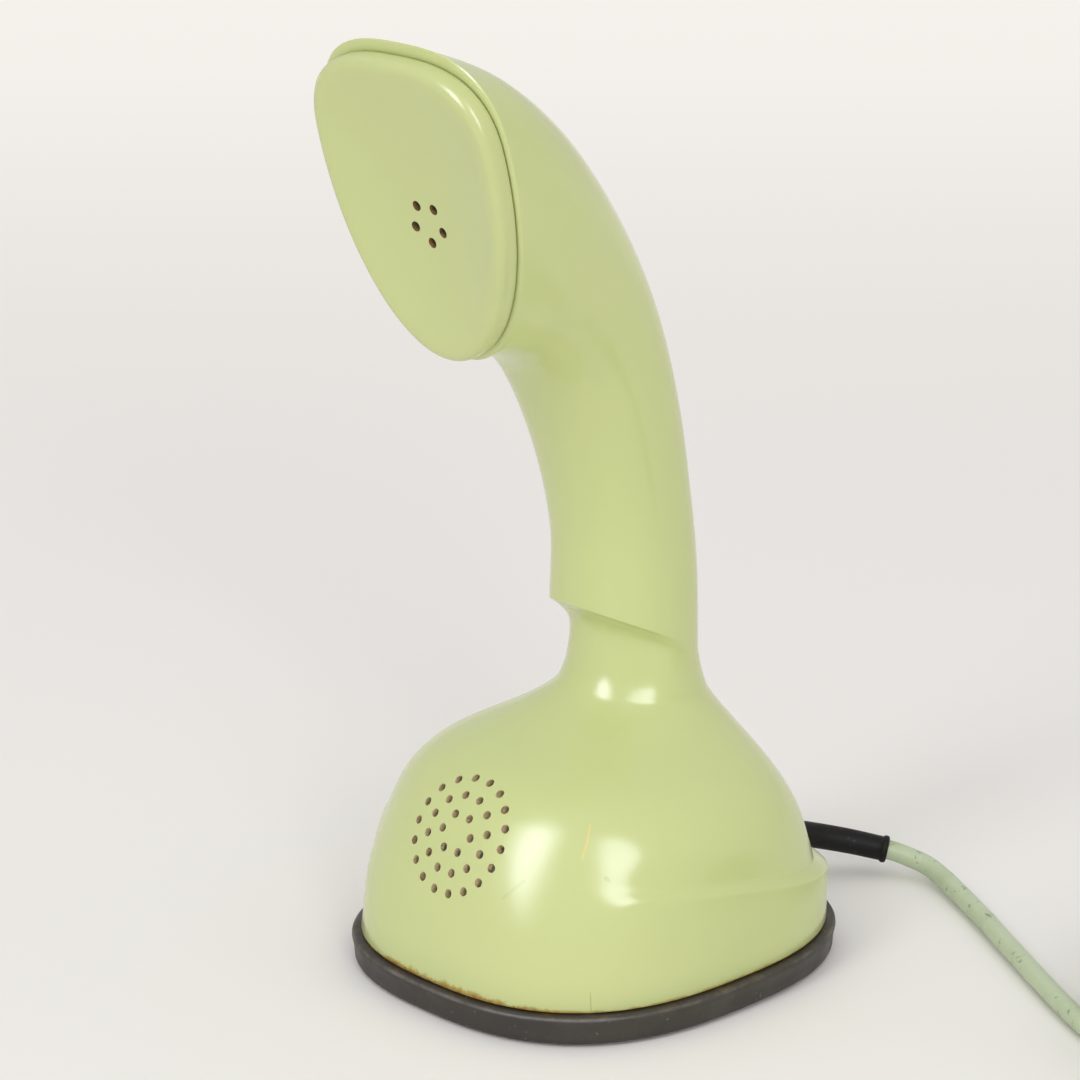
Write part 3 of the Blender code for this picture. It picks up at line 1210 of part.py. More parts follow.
def make_standing_pieces():
    """The capacitor, and the terminal board with its screws."""
    middle = Vector((CAPACITOR_AT.x, CAPACITOR_AT.y, WORKS_FLOOR + CAPACITOR.z / 2))
    box("capacitor", middle, CAPACITOR, ALUMINIUM)
    middle = Vector((TERMINAL_AT.x, TERMINAL_AT.y, WORKS_FLOOR + TERMINAL_BOARD.z / 2))
    board = box("terminal_board", middle, TERMINAL_BOARD, BAKELITE)
    places = []
    for number in range(TERMINALS):
        x = TERMINAL_AT.x + TERMINAL_STEP * (number - (TERMINALS - 1) / 2)
        places.append(upright(x, TERMINAL_AT.y, TERMINAL_TOP))
        head = TERMINAL_TOP + GAP
        screw_end = WORKS_FLOOR + PLAY
        profile = [(0, screw_end), (TERMINAL_SCREW, screw_end), (TERMINAL_SCREW, head), (TERMINAL_HEAD, head),
                   (TERMINAL_HEAD, head + TERMINAL_HEAD_HEIGHT), (0, head + TERMINAL_HEAD_HEIGHT)]
        turned(f"terminal_screw_{number + 1}", profile, BRASS, 12, upright(x, TERMINAL_AT.y))
    holes = prisms("terminal_holes", places, TERMINAL_SCREW + GAP, TERMINAL_BOARD.z * 3, 12)
    boolean(board, holes, "DIFFERENCE")


def lead(start, bends, end, top):
    """A wire from start to end. The bends are shares of the way from the end: across, back, and up to the top."""
    points = [start]
    for across, back, up in bends:
        points.append(Vector((end.x + (start.x - end.x) * across, end.y + (start.y - end.y) * back,
                              end.z + (top - end.z) * up)))
    return eased([*points, end], LEAD_SPACING)


NECK_BEND_SHARES = ((1, 0.99, 0.8), (1, 0.88, 0.66), (0.43, 0.72, 0.5), (0.07, 0.37, 0.34), (0, 0.07, 0.18),
                    (0, -0.02, 0.1))
MIC_BEND_SHARES = ((0.19, 0.83, 0.83), (-0.44, 0.61, 1), (-0.75, 0.38, 1), (-0.28, 0.16, 0.83),
                   (0, 0.02, 0.56), (0, -0.01, 0.3))


def make_leads():
    """The wires from the two capsules down to the terminal board, the first along the handle's middle."""
    end = TERMINAL_AT + Vector((0, 0, TERMINAL_TOP + GAP + TERMINAL_HEAD_HEIGHT + LEAD_OVER))
    middles = [(Vector((0, row[0], row[1])) + Vector((0, row[2], row[3]))) / 2 for row in HANDLE[1:7]]
    ear_end = EAR - FACE_OUT * (CAP_FACE_WALL + RECEIVER_DEPTH + RECEIVER_RING + LEAD_OUT)
    upper = eased([ear_end, *reversed(middles)], LEAD_SPACING)
    neck = upper.pop()
    tube("receiver_lead", [*upper, *lead(neck, NECK_BEND_SHARES, end, neck.z)], LEAD_RADIUS, BLACK)
    mic_depth = FELT_SET_BACK + FELT + TRANSMITTER_DEPTH + HOLDER_WALL + PLAY + LEAD_OUT
    mic_end = MIC - MIC_OUT * mic_depth
    mic_end.x = TERMINAL_STEP
    other_end = end - Vector((TERMINAL_STEP, 0, 0))
    over = BRIDGE_TOP + LEAD_LIFT
    tube("transmitter_lead", lead(mic_end, MIC_BEND_SHARES, other_end, over), LEAD_RADIUS, BLACK)


# Cord

def relief_point(across, back, share):
    """A point of the sleeve's route."""
    return EXIT + Vector((across * RELIEF_REACH, back * RELIEF_REACH, CORD_RADIUS + CORD_DROP * share))


def make_strain_relief():
    """The rubber sleeve that leads the cord out at the rear, ending in a bead."""
    path = eased([relief_point(*row) for row in RELIEF_ROUTE_SHARES], RELIEF_SPACING)
    rings = []
    length = sum((b - a).length for a, b in zip(path, path[1:]))
    travelled = 0
    for index, point in enumerate(path):
        before = path[max(index - 1, 0)]
        after = path[min(index + 1, len(path) - 1)]
        if index:
            travelled += (point - path[index - 1]).length
        share = travelled / length
        radius = RELIEF_ROOT + (RELIEF_TIP - RELIEF_ROOT) * share
        ahead = (after - before).normalized()
        side = ahead.cross(Vector((0, 0, 1))).normalized()
        up = side.cross(ahead)
        rings.append((point, side, up, radius))
    tip = rings.pop()
    ahead = tip[2].cross(tip[1])
    neck = tip[0] - ahead * BEAD_LENGTH
    rings.append((neck, tip[1], tip[2], RELIEF_TIP))
    for along_share, radius_share in ((0.15, 0.94), (0.5, 1), (0.85, 0.94)):
        rings.append((neck + ahead * BEAD_LENGTH * along_share, tip[1], tip[2], RELIEF_BEAD * radius_share))
    rings.append((tip[0], tip[1], tip[2], RELIEF_TIP))
    skins = []
    for point, side, up, radius in rings:
        skin = []
        for step in range(RELIEF_SIDES):
            angle = TURN * step / RELIEF_SIDES
            skin.append(point + side * radius * math.cos(angle) + up * radius * math.sin(angle))
        skins.append(skin)
    loft("strain_relief", skins, RUBBER)


def make_cord():
    """The tail inside the body, the run over the table, and the rest wound in a coil with its plug."""
    root = relief_point(*RELIEF_ROUTE_SHARES[0])
    tail = [root - Vector((TAIL_LENGTH * across, GAP + TAIL_LENGTH * back, 0)) for across, back in TAIL_SHARES]
    tube("cord_tail", tail, TAIL_RADIUS, CORD_GREEN)

    radius = CORD_RADIUS
    centre = RELIEF_TURN + COIL_CENTRE
    start = centre + Vector((math.cos(COIL_START), math.sin(COIL_START), 0)) * COIL_OUTER
    start.z = radius
    tangent = Vector((-math.sin(COIL_START), math.cos(COIL_START), 0))
    per_turn = COIL_POINTS_PER_TURN
    layer = round(COIL_LAYER_TURNS * per_turn)
    points = []
    reach = COIL_OUTER
    height = radius
    for index in range(COIL_LAYERS * layer + 1):
        angle = COIL_START + TURN * index / per_turn
        points.append(centre + Vector((reach * math.cos(angle), reach * math.sin(angle), height)))
        inward = (index // layer) % 2 == 0
        climbs = index % layer >= layer - per_turn // 2 and index < COIL_LAYERS * layer - layer
        step = COIL_STEP / per_turn
        if climbs:
            height += COIL_STEP / (per_turn // 2)
        reach += -step if inward else step
    print("cord coil: least gap between turns", round(COIL_STEP / MM - CORD_DIAMETER / MM, 2), "mm")
    last = points[-1]
    end_angle = COIL_START + TURN * COIL_LAYERS * layer / per_turn
    ahead = Vector((-math.sin(end_angle), math.cos(end_angle), 0))
    for number, drop in enumerate(END_DROPS, 1):
        away = last + ahead * END_REACH * number / len(END_DROPS)
        away.z = radius + END_RISE + (last.z - radius - END_RISE) * drop
        points.append(away)
    tube("cord_coil", points, radius, CORD_GREEN)
    run = [RELIEF_TURN + Vector((x * MM, y * MM, radius + CORD_DROP * share)) for x, y, share in CORD_ROUTE]
    run.append(start - tangent * (PLAY + COIL_LEAD_IN))
    run.append(start - tangent * PLAY)
    tube("cord_run", eased(run, CORD_SPACING), radius, CORD_GREEN)
    plug_at = points[-1] + ahead * (PLUG.x / 2 + GAP)
    plug_at.z = PLUG.z / 2 + GAP
    turn = Matrix.Rotation(end_angle + TURN / 4, 4, "Z")
    place = Matrix.Translation(plug_at) @ turn
    half = PLUG / 2
    boxes("plug_body", [(-half, half)], BLACK, edge=PLUG_ROUND, place=place)
    for number, side in ((1, -1), (2, 1)):
        low = Vector((half.x + GAP, side * PLUG_PIN_STEP - PLUG_PIN.y / 2, -PLUG_PIN.z / 2))
        boxes(f"plug_pin_{number}", [(low, low + PLUG_PIN)], BRASS, place=place)
    length = sum((b - a).length for a, b in zip(points, points[1:]))
    length += sum((b - a).length for a, b in zip(run, run[1:]))
    print("cord length", round(length, 2), "m")


make_shell()
make_foot_ring()
make_base_plate()
make_base_screws()
make_ear_cap()
make_receiver()
make_transmitter()
make_finger_wheel()
make_number_plate()
make_finger_stop()
make_dial_frame()
make_dial_bearing()
make_gear_train()
make_shafts()
make_return_spring()
make_contacts()
make_bridge()
make_hook_button()
make_hook_lever()
make_switch()
make_induction_coil()
make_standing_pieces()
make_leads()
make_strain_relief()
make_cord()

# The whole telephone, without its cord, has its middle over the origin
front_reach = min(point.y for row in ((CAP_SET_IN, CAP_HEIGHT), (CAP_SET_IN, CAP_HEIGHT - CAP_EDGE))
                  for point in cap_ring(*row))
ROOT.location.y = -(front_reach + HALF_DEPTH) / 2
bpy.context.view_layer.update()
print("grille at", [round(value / MM, 2) for value in MIC], "tilted", round(math.degrees(MIC_TILT), 2))
print("root moved back by", round(ROOT.location.y / MM, 3), "mm")
for name, at in (("dial", Vector()), ("impulse", IMPULSE_AT), ("governor", GOVERNOR_AT),
                 ("hook lever", Vector((-LEVER_ARM, 0, LEVER_MIDDLE)))):
    place = ROOT.matrix_world @ at
    print(name, "axis at", [round(value, 5) for value in place])
print("hook spring top", round((HUB_TOP - HUB_FLOOR - GAP) / MM, 3), "mm")
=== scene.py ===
# %% [markdown]
# # A one-piece desk telephone
# The real telephone is a single pale green moulding: a dome with the mouthpiece in its front, a
# handle that grows out of the dome, and a head with the earpiece. The dial sits underneath.
# The solids of every mechanical piece are loaded first, in metres, and are never moved. What this
# lesson adds is the finish: smooth skins for the moulded pieces, the cord, materials and light.

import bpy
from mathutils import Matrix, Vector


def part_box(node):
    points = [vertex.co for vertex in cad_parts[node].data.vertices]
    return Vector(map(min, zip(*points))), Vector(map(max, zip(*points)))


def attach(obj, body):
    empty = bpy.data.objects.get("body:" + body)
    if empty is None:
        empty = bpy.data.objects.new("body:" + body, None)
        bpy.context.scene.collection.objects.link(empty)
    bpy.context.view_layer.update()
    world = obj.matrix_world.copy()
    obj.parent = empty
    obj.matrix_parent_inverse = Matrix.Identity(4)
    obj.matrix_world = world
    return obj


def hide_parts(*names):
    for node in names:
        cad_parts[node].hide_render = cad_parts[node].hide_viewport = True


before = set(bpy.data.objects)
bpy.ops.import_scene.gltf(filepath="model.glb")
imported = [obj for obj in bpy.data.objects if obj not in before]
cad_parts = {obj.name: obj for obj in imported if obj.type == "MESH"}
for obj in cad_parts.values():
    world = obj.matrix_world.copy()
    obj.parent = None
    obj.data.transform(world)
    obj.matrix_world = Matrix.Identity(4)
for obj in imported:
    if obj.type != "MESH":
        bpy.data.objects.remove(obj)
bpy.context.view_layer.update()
print("solids:", len(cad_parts))

# %% Libraries and units
import math

import bmesh
import bpy
from mathutils import Matrix, Vector

MM = 0.001
TURN = 2 * math.pi
MIDDLE_Y = 4.894  # the foot's middle lies this far behind the origin, in mm


def new_object(name, data):
    """An object in the scene, for a mesh, curve, lamp or camera."""
    made = bpy.data.objects.new(name, data)
    bpy.context.scene.collection.objects.link(made)
    return made


# %% [markdown]
# ## The camera
# The photograph looks at the telephone from its front left corner, from a little above. A long
# lens keeps the verticals nearly straight. A camera can be placed by coordinates and angles. Here
# its place is a turn round the telephone, a height angle and a distance, because those are the
# numbers that one adjusts.

# %% Camera
AZIMUTH = math.radians(46.5)
ELEVATION = math.radians(17.5)
DISTANCE = 920
AIM = Vector((0, -18.3 + MIDDLE_Y, 107.8))
SENSOR = 36
FOCAL_LENGTH, PICTURE_WIDTH = 3955, 1080  # of the photograph, both in pixels

camera_data = bpy.data.cameras.new("studio_camera")
camera = new_object("studio_camera", camera_data)
level = math.cos(ELEVATION)
back = Vector((math.sin(AZIMUTH) * level, -math.cos(AZIMUTH) * level, math.sin(ELEVATION)))
camera.location = (AIM + back * DISTANCE) * MM
camera.rotation_euler = back.to_track_quat("Z", "Y").to_euler()
camera_data.sensor_width = SENSOR
camera_data.sensor_height = SENSOR
camera_data.sensor_fit = "HORIZONTAL"
camera_data.lens = SENSOR * FOCAL_LENGTH / PICTURE_WIDTH
camera_data.clip_start = 0.05
camera_data.clip_end = 20
camera_data.dof.use_dof = False
bpy.context.scene.camera = camera
print("camera stands at", [round(x, 3) for x in camera.location], "m")
print("lens:", round(camera_data.lens, 1), "mm")

# %% [markdown]
# ## Helpers for node materials
# Each finish is a small node tree. It could be joined by hand in the shader editor. These helpers
# add a node and join it up in one call, so that a material reads as a list of what is mixed in.

# %% Material helpers
def fill(node, **values):
    """Sets a node's inputs. An underscore in a name stands for a space."""
    for key, value in values.items():
        node.inputs[key.replace("_", " ")].default_value = value


class Finish:
    """A Principled material that is built up step by step."""

    def __init__(self, name, color, roughness, metallic=0.0):
        self.material = bpy.data.materials.new(name)
        self.material.use_nodes = True
        self.tree = self.material.node_tree
        self.shader = self.tree.nodes["Principled BSDF"]
        fill(self.shader, Base_Color=(*color, 1), Roughness=roughness, Metallic=metallic)
        self.color = None  # the last colour mixed in, once there is one
        self.place = self.add("ShaderNodeTexCoord").outputs["Object"]

    def add(self, kind, **settings):
        """A new node of this kind, with these settings."""
        node = self.tree.nodes.new(kind)
        for key, value in settings.items():
            setattr(node, key, value)
        return node

    def join(self, source, target):
        """Links an output to an input."""
        self.tree.links.new(source, target)

    def noise(self, scale, detail=2.0, rough=0.5, stretch=None):
        """Noise over the object's own coordinates, with scale in waves per metre."""
        node = self.add("ShaderNodeTexNoise")
        fill(node, Scale=scale, Detail=detail, Roughness=rough)
        if stretch:
            mapping = self.add("ShaderNodeMapping")
            fill(mapping, Scale=stretch)
            self.join(self.place, mapping.inputs["Vector"])
            self.join(mapping.outputs["Vector"], node.inputs["Vector"])
        else:
            self.join(self.place, node.inputs["Vector"])
        return node.outputs["Fac"]

    def ramp(self, source, low, high, start=0.0, end=1.0):
        """start below low, end above high, and a smooth change between them."""
        node = self.add("ShaderNodeMapRange", interpolation_type="SMOOTHSTEP")
        fill(node, From_Min=low, From_Max=high, To_Min=start, To_Max=end)
        self.join(source, node.inputs["Value"])
        return node.outputs["Result"]

    def math(self, operation, first, second):
        """One sum with two outputs or numbers."""
        node = self.add("ShaderNodeMath", operation=operation)
        for socket, value in zip(node.inputs, (first, second)):
            if isinstance(value, (int, float)):
                socket.default_value = value
            else:
                self.join(value, socket)
        return node.outputs["Value"]

    def height(self, axis="Z"):
        """How high the place is, or how far along another axis, in metres."""
        node = self.add("ShaderNodeSeparateXYZ")
        self.join(self.place, node.inputs["Vector"])
        return node.outputs[axis]

    def tint(self, factor, color):
        """Mixes another colour in where factor is high."""
        mix = self.add("ShaderNodeMix", data_type="RGBA")
        if self.color is None:
            mix.inputs["A"].default_value = self.shader.inputs["Base Color"].default_value
        else:
            self.join(self.color, mix.inputs["A"])
        mix.inputs["B"].default_value = (*color, 1)
        self.join(factor, mix.inputs["Factor"])
        self.color = mix.outputs["Result"]
        self.join(self.color, self.shader.inputs["Base Color"])

    def vector(self, operation, first, second):
        """One sum with vectors."""
        node = self.add("ShaderNodeVectorMath", operation=operation)
        sockets = (node.inputs[0], node.inputs["Scale"] if operation == "SCALE" else node.inputs[1])
        for socket, value in zip(sockets, (first, second)):
            if isinstance(value, Vector):
                socket.default_value = value
            else:
                self.join(value, socket)
        return node.outputs["Value" if operation in ("DOT_PRODUCT", "DISTANCE") else "Vector"]

    def scratch(self, start, end, width, color, strength):
        """A thin mark from one point to another, with points and width in mm."""
        start, line = Vector(start) * MM, (Vector(end) - Vector(start)) * MM
        away = self.vector("SUBTRACT", self.place, start)
        share = self.vector("DOT_PRODUCT", away, line / line.length_squared)
        share = self.math("MINIMUM", self.math("MAXIMUM", share, 0.0), 1.0)
        beside = self.vector("DISTANCE", away, self.vector("SCALE", line, share))
        self.tint(self.ramp(beside, width * MM / 4, width * MM / 2, strength, 0), color)

    def mottle(self, noise, low, high, color, strength=1.0):
        """Mixes another colour in where noise is high."""
        self.tint(self.ramp(self.noise(*noise), low, high, 0, strength), color)

    def uneven(self, noise, low, high, glossy, matt):
        """Lets the roughness follow noise, from glossy to matt."""
        gloss = self.ramp(self.noise(*noise), low, high, glossy, matt)
        self.join(gloss, self.shader.inputs["Roughness"])

    def bump(self, noise, strength, distance):
        """Relief from noise, too fine to model, with its height in metres."""
        node = self.add("ShaderNodeBump")
        fill(node, Strength=strength, Distance=distance)
        self.join(self.noise(*noise), node.inputs["Height"])
        self.join(node.outputs["Normal"], self.shader.inputs["Normal"])


# %% [markdown]
# ## Pale green plastic
# The moulding is a glossy thermoplastic that has yellowed a little. Close up it has a faint
# waviness from the mould, and rub marks that break its gloss. A single colour would look like
# fresh paint, and an image would have to be unwrapped over the whole body. Noise on the object's
# own coordinates mixes two neighbouring greens in, and it runs on over every seam.

# %% Green plastic
GREEN_COLOR = (0.56, 0.625, 0.275)
plastic = Finish("pale_green_plastic", GREEN_COLOR, 0.2)
plastic.mottle((14, 3), 0.4, 0.75, (0.60, 0.64, 0.30), 0.35)
plastic.mottle((38, 4), 0.55, 0.8, (0.50, 0.58, 0.25), 0.22)
plastic.uneven((60, 5), 0.3, 0.8, 0.17, 0.25)
plastic.bump((45, 2), 0.12, 0.0004)
print("plastic nodes:", len(plastic.tree.nodes))

# %% [markdown]
# ## Dirt above the rubber ring
# Dirt has gathered where the moulding meets the ring: brown in the joint, yellow above it, and
# broadest at one front corner. It could be painted on by hand. Here it reaches up to a height that
# changes slowly along the front, times noise that makes its edge ragged.

# %% Dirt in the joint
JOINT_HEIGHT = 0.0074
along_x = plastic.math("MULTIPLY", plastic.height("X"), 0.69)
along_y = plastic.math("MULTIPLY", plastic.height("Y"), 0.72)
across = plastic.math("ADD", along_x, along_y)  # from one front corner to the opposite rear one
at_corner = plastic.ramp(across, -0.052, -0.040, 0.0007, 0.0019)
past_corner = plastic.ramp(across, -0.028, 0.0, 0, -0.0011)
ragged = plastic.ramp(plastic.noise(220, 6, 0.75), 0.32, 0.62, 0.4, 1.2)
dirt_height = plastic.math("MULTIPLY", ragged, plastic.math("ADD", at_corner, past_corner))
above_joint = plastic.math("SUBTRACT", plastic.height(), JOINT_HEIGHT)
in_dirt = plastic.math("DIVIDE", above_joint, dirt_height)  # 0 in the joint, 1 at the edge
plastic.tint(plastic.ramp(in_dirt, 0.5, 1.1, 0.8, 0), (0.46, 0.37, 0.08))
patchy = plastic.ramp(plastic.noise(500, 3), 0.35, 0.6, 0.45, 1)
browner = plastic.math("MULTIPLY", plastic.ramp(in_dirt, 0.2, 0.9, 1, 0), patchy)
cleaner_rear = plastic.ramp(across, -0.02, 0.02, 1, 0.4)
plastic.tint(plastic.math("MULTIPLY", browner, cleaner_rear), (0.33, 0.16, 0.022))
print("plastic nodes with the dirt:", len(plastic.tree.nodes))

# %% [markdown]
# ## Marks of use
# The front has a yellow scratch, which bends a little, a hairline crack that rises from the ring,
# and two dull scuffs. They could be drawn in an image, but then the body would need a map. A mark
# is drawn instead wherever the surface passes close to a short line in space.

# %% Scratches
YELLOW, CRACK = (0.80, 0.62, 0.24), (0.22, 0.26, 0.10)
DULL, PALER = (0.45, 0.50, 0.21), (0.47, 0.52, 0.22)
MARKS = (  # start, end, width, color, strength
    ((29.9, -25.9, 48.7), (31.3, -28.2, 45.5), 0.6, YELLOW, 0.7),
    ((31.3, -28.2, 45.5), (31.8, -30.3, 42.1), 0.7, YELLOW, 0.7),
    ((39.1, -34.7, 14.3), (39.6, -34.8, 8.0), 0.22, CRACK, 0.7),
    ((37.0, -27.7, 38.1), (37.5, -26.8, 37.1), 1.4, DULL, 0.7),
    ((18.8, -42.9, 32.1), (22.3, -39.8, 36.4), 1.2, PALER, 0.4),
)
for mark in MARKS:
    plastic.scratch(*mark)
print("marks:", len(MARKS))

# %% [markdown]
# ## The moulded body
# The body is one moulding from its skirt to its head, with a notch at the front of its neck. It
# could be sculpted, or grown from a box with a subdivision surface. It is made as a stack of
# slanted sections, because each can be set against the photograph on its own. A section has a
# front and a back point, a half width, and a roundness at its front and back. The table gives the
# sections from the dome up to the rim of the head, and a curve through them gives all between.

# %% Table of sections
# front y, front z, back y, back z, half width, where it is widest, front and back roundness
LEDGE = (-49.5, 38.6, 50.6, 21.4, 48.1, 0.50, 2.32, 2.50)
NOTCH_TOP = (-8.0, 89.5, 27.1, 72.9, 17.8, 0.50, 2.10, 2.00)
DOME = (
    LEDGE,
    (-43.9, 46.0, 46.5, 36.1, 46.1, 0.50, 2.22, 2.30),
    (-35.2, 54.0, 41.0, 46.9, 38.1, 0.50, 2.20, 2.24),
    (-18.5, 60.6, 33.5, 58.3, 24.2, 0.50, 2.08, 2.20),
    (-8.6, 65.2, 30.3, 63.3, 18.2, 0.50, 2.00, 2.20),
    (-4.7, 69.3, 29.2, 66.0, 16.8, 0.50, 2.00, 2.22),
    (-2.9, 75.5, 28.4, 68.5, 16.0, 0.50, 2.00, 2.25),
    (-2.6, 83.0, 27.7, 71.1, 15.6, 0.50, 2.00, 2.30),
    (-5.1, 87.0, 27.4, 72.0, 16.4, 0.50, 2.05, 2.15),
    NOTCH_TOP,
)
HANDLE = (
    NOTCH_TOP,
    (-8.1, 106.0, 26.6, 94.1, 16.9, 0.50, 2.15, 2.10),
    (-11.6, 121.9, 23.7, 115.9, 17.1, 0.50, 2.20, 2.10),
    (-17.3, 137.1, 18.2, 139.6, 18.5, 0.50, 2.20, 2.15),
    (-24.0, 148.6, 9.1, 164.0, 20.4, 0.50, 2.20, 2.20),
    (-32.0, 154.6, -5.1, 187.9, 23.4, 0.50, 2.15, 2.25),
    (-38.5, 156.4, -23.7, 209.1, 26.6, 0.53, 2.10, 2.40),
    (-41.0, 156.4, -43.2, 222.9, 28.6, 0.60, 2.02, 2.70),
    (-41.2, 155.6, -60.7, 229.9, 29.9, 0.68, 1.98, 2.75),
)
RIM = HANDLE[-1]
print("sections:", len(DOME) + len(HANDLE) - 1)


# %% Points of one section
def bowed(value, power):
    """A sine or cosine made squarer by a power over 2."""
    return math.copysign(abs(value) ** (2 / power), value)


def on_section(row, turn):
    """The point of a section at this turn, in mm, with the front point at zero."""
    front_y, front_z, rear_y, rear_z, half, widest, front_power, rear_power = row
    front = Vector((0, front_y, front_z))
    span = Vector((0, rear_y, rear_z)) - front
    length = span.length
    at_front = math.cos(turn) > 0
    power = front_power if at_front else rear_power
    reach = length * (widest if at_front else 1 - widest)
    offset = length * widest - reach * bowed(math.cos(turn), power)
    across = Vector((half * bowed(math.sin(turn), power), MIDDLE_Y, 0))
    return front + span * (offset / length) + across


def rounded_rows(rows, steps):
    """The rows, with steps more between each two on a smooth curve."""
    before = [2 * a - b for a, b in zip(rows[0], rows[1])]
    after = [2 * a - b for a, b in zip(rows[-1], rows[-2])]
    padded = [before, *rows, after]
    made = []
    for index in range(len(rows) - 1):
        for step in range(steps):
            t = step / steps
            made.append([b + (c - a) * t / 2 + (2 * a - 5 * b + 4 * c - d) * t * t / 2
                         + (3 * b - a - 3 * c + d) * t ** 3 / 2
                         for a, b, c, d in zip(*padded[index:index + 4])])
    made.append(list(rows[-1]))
    return made


# %% Skin a stack of sections
SIDES = 112  # points round a section


def grow(bm, edges):
    """Extrudes a loop of edges, and returns the points and the edges of the new loop."""
    new = bmesh.ops.extrude_edge_only(bm, edges=edges)["geom"]
    kinds = (bmesh.types.BMVert, bmesh.types.BMEdge)
    return [[item for item in new if isinstance(item, kind)] for kind in kinds]


def skin(rows, close=False, shift=None):
    """Extrudes a circle from section to section. A layer keeps each point's turn on the way."""
    bm = bmesh.new()
    turn = bm.verts.layers.float.new("turn")
    ring = bmesh.ops.create_circle(bm, segments=SIDES, radius=1)["verts"]
    for vert in ring:
        vert[turn] = math.atan2(vert.co.y, vert.co.x)
    start = edges = list(bm.edges)
    for index, row in enumerate(rows):
        if index:
            ring, edges = grow(bm, edges)
        for vert in ring:
            point = on_section(row, vert[turn])
            vert.co = (shift(point, index, vert[turn]) if shift else point) * MM
    if close:
        bmesh.ops.bridge_loops(bm, edges=start + edges)
    bmesh.ops.recalc_face_normals(bm, faces=bm.faces)
    return bm


# %% Make a mesh a piece
SHARP = 35  # edges bent by more than this many degrees stay sharp


def put(name, bm, finishes, body="base", smooth=SHARP):
    """Makes the mesh a piece that rides on a body, smooth except at its sharp edges."""
    mesh = bpy.data.meshes.new(name)
    bm.to_mesh(mesh)
    bm.free()
    piece = new_object(name, mesh)
    for finish in finishes:
        mesh.materials.append(finish.material)
    mesh.shade_smooth()
    mesh.set_sharp_from_angle(angle=math.radians(smooth))
    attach(piece, body)
    return piece


# %% [markdown]
# ## From the foot up to the head
# The skirt rises straight from the rubber ring to a slanted crease. At the back the dome starts a
# few millimetres inside the crease, which leaves a ledge, and at the front the two run into each
# other. The crease could be bevelled, but it fades away towards the front, so it is drawn row by
# row. Rows close together keep its edge slightly round, and it catches a thin line of light.

# %% Rows of the skirt
SKIRT_HALF = (49.5, 54.6)  # across and front to back
SKIRT_FOOT, CREASE_FRONT, CREASE_REAR = 7.4, 38.4, 18.3  # heights
LEAN_FRONT, LEAN_REAR, LEAN_SIDE = 4.8, 0.3, 0.2
FOOT_POWER = 2.6  # roundness of the foot's outline


def skirt_row(share, inward=0.0, up=0.0):
    """A row of the skirt, from the foot at 0 to the crease at 1."""
    front = inward + LEAN_FRONT * share - SKIRT_HALF[1]
    rear = SKIRT_HALF[1] - LEAN_REAR * share - inward
    front_high = SKIRT_FOOT + up + (CREASE_FRONT - SKIRT_FOOT) * share
    rear_high = SKIRT_FOOT + up + (CREASE_REAR - SKIRT_FOOT) * share
    half = SKIRT_HALF[0] - LEAN_SIDE * share - inward
    return [front, front_high, rear, rear_high, half, 0.5, FOOT_POWER, FOOT_POWER]


def between(first, second, share):
    """A row part of the way from one to another."""
    return [a + (b - a) * share for a, b in zip(first, second)]


crease = skirt_row(1)
skirt = [skirt_row(0, 0.5), skirt_row(0, 0.12, 0.12), skirt_row(0, 0, 0.5)]
skirt += [skirt_row(share) for share in (0.25, 0.5, 0.6, 0.7, 0.79, 0.87, 0.93, 0.97, 0.99)]
skirt += [between(crease, LEDGE, share) for share in (0.08, 0.3, 0.7)]
print("rows of the skirt:", len(skirt))

# %% Rows of the outside
STEPS = 8  # rows for each section of the tables
above = [between(NOTCH_TOP, HANDLE[1], share) for share in (0, 0.008, 0.03)]
above += rounded_rows(HANDLE, STEPS)[1:]
outside = skirt + rounded_rows(DOME, STEPS)[:-1] + above
print("rows of the outside:", len(outside))

# %% The same rows without the notch
NECK = {
    4: (-12.2, 65.2, 30.3, 63.3, 19.6, 0.50, 2.10, 2.15),
    5: (-10.2, 69.8, 29.2, 66.0, 18.5, 0.50, 2.10, 2.11),
    6: (-8.9, 75.5, 28.4, 68.5, 17.8, 0.50, 2.10, 2.08),
    7: (-8.2, 83.0, 27.7, 71.1, 17.6, 0.50, 2.10, 2.02),
    8: (-8.1, 87.0, 27.4, 72.1, 17.65, 0.50, 2.10, 2.00),
}
plain_dome = [NECK.get(place, row) for place, row in enumerate(DOME)]
plain = skirt + rounded_rows(plain_dome, STEPS)[:-1] + above
print("sections that differ without the notch:", len(NECK))

# %% Fade the notch and the crease
CORNER = (4, len(skirt) + 11)  # rows between which the crease is rounded off at the front
NOTCH_EDGE = 6  # the section of the dome from which the notch ends further round the side
PULL = (0.6, 0.5)  # how strongly the rounded crease leaves its lower and its upper end


def fade(turn, full, none):
    """1 up to full degrees from the front and 0 past none, with a smooth change."""
    share = min(max((math.degrees(abs(turn)) - full) / (none - full), 0), 1)
    return 1 - share * share * (3 - 2 * share)


def round_crease(index, turn):
    """The point on a smooth curve from the skirt to the dome that passes inside the crease."""
    first, last = CORNER
    share = (index - first) / (last - first)
    rows = (outside[first], LEDGE, outside[last], outside[last + 1])
    start, corner, end, beyond = (on_section(row, turn) for row in rows)
    slope = (end - beyond).normalized()
    low = start.lerp(corner, PULL[0])
    high = end + slope * (corner - end).dot(slope) * PULL[1]
    rest = 1 - share
    return rest ** 3 * start + 3 * share * rest * (rest * low + share * high) + share ** 3 * end


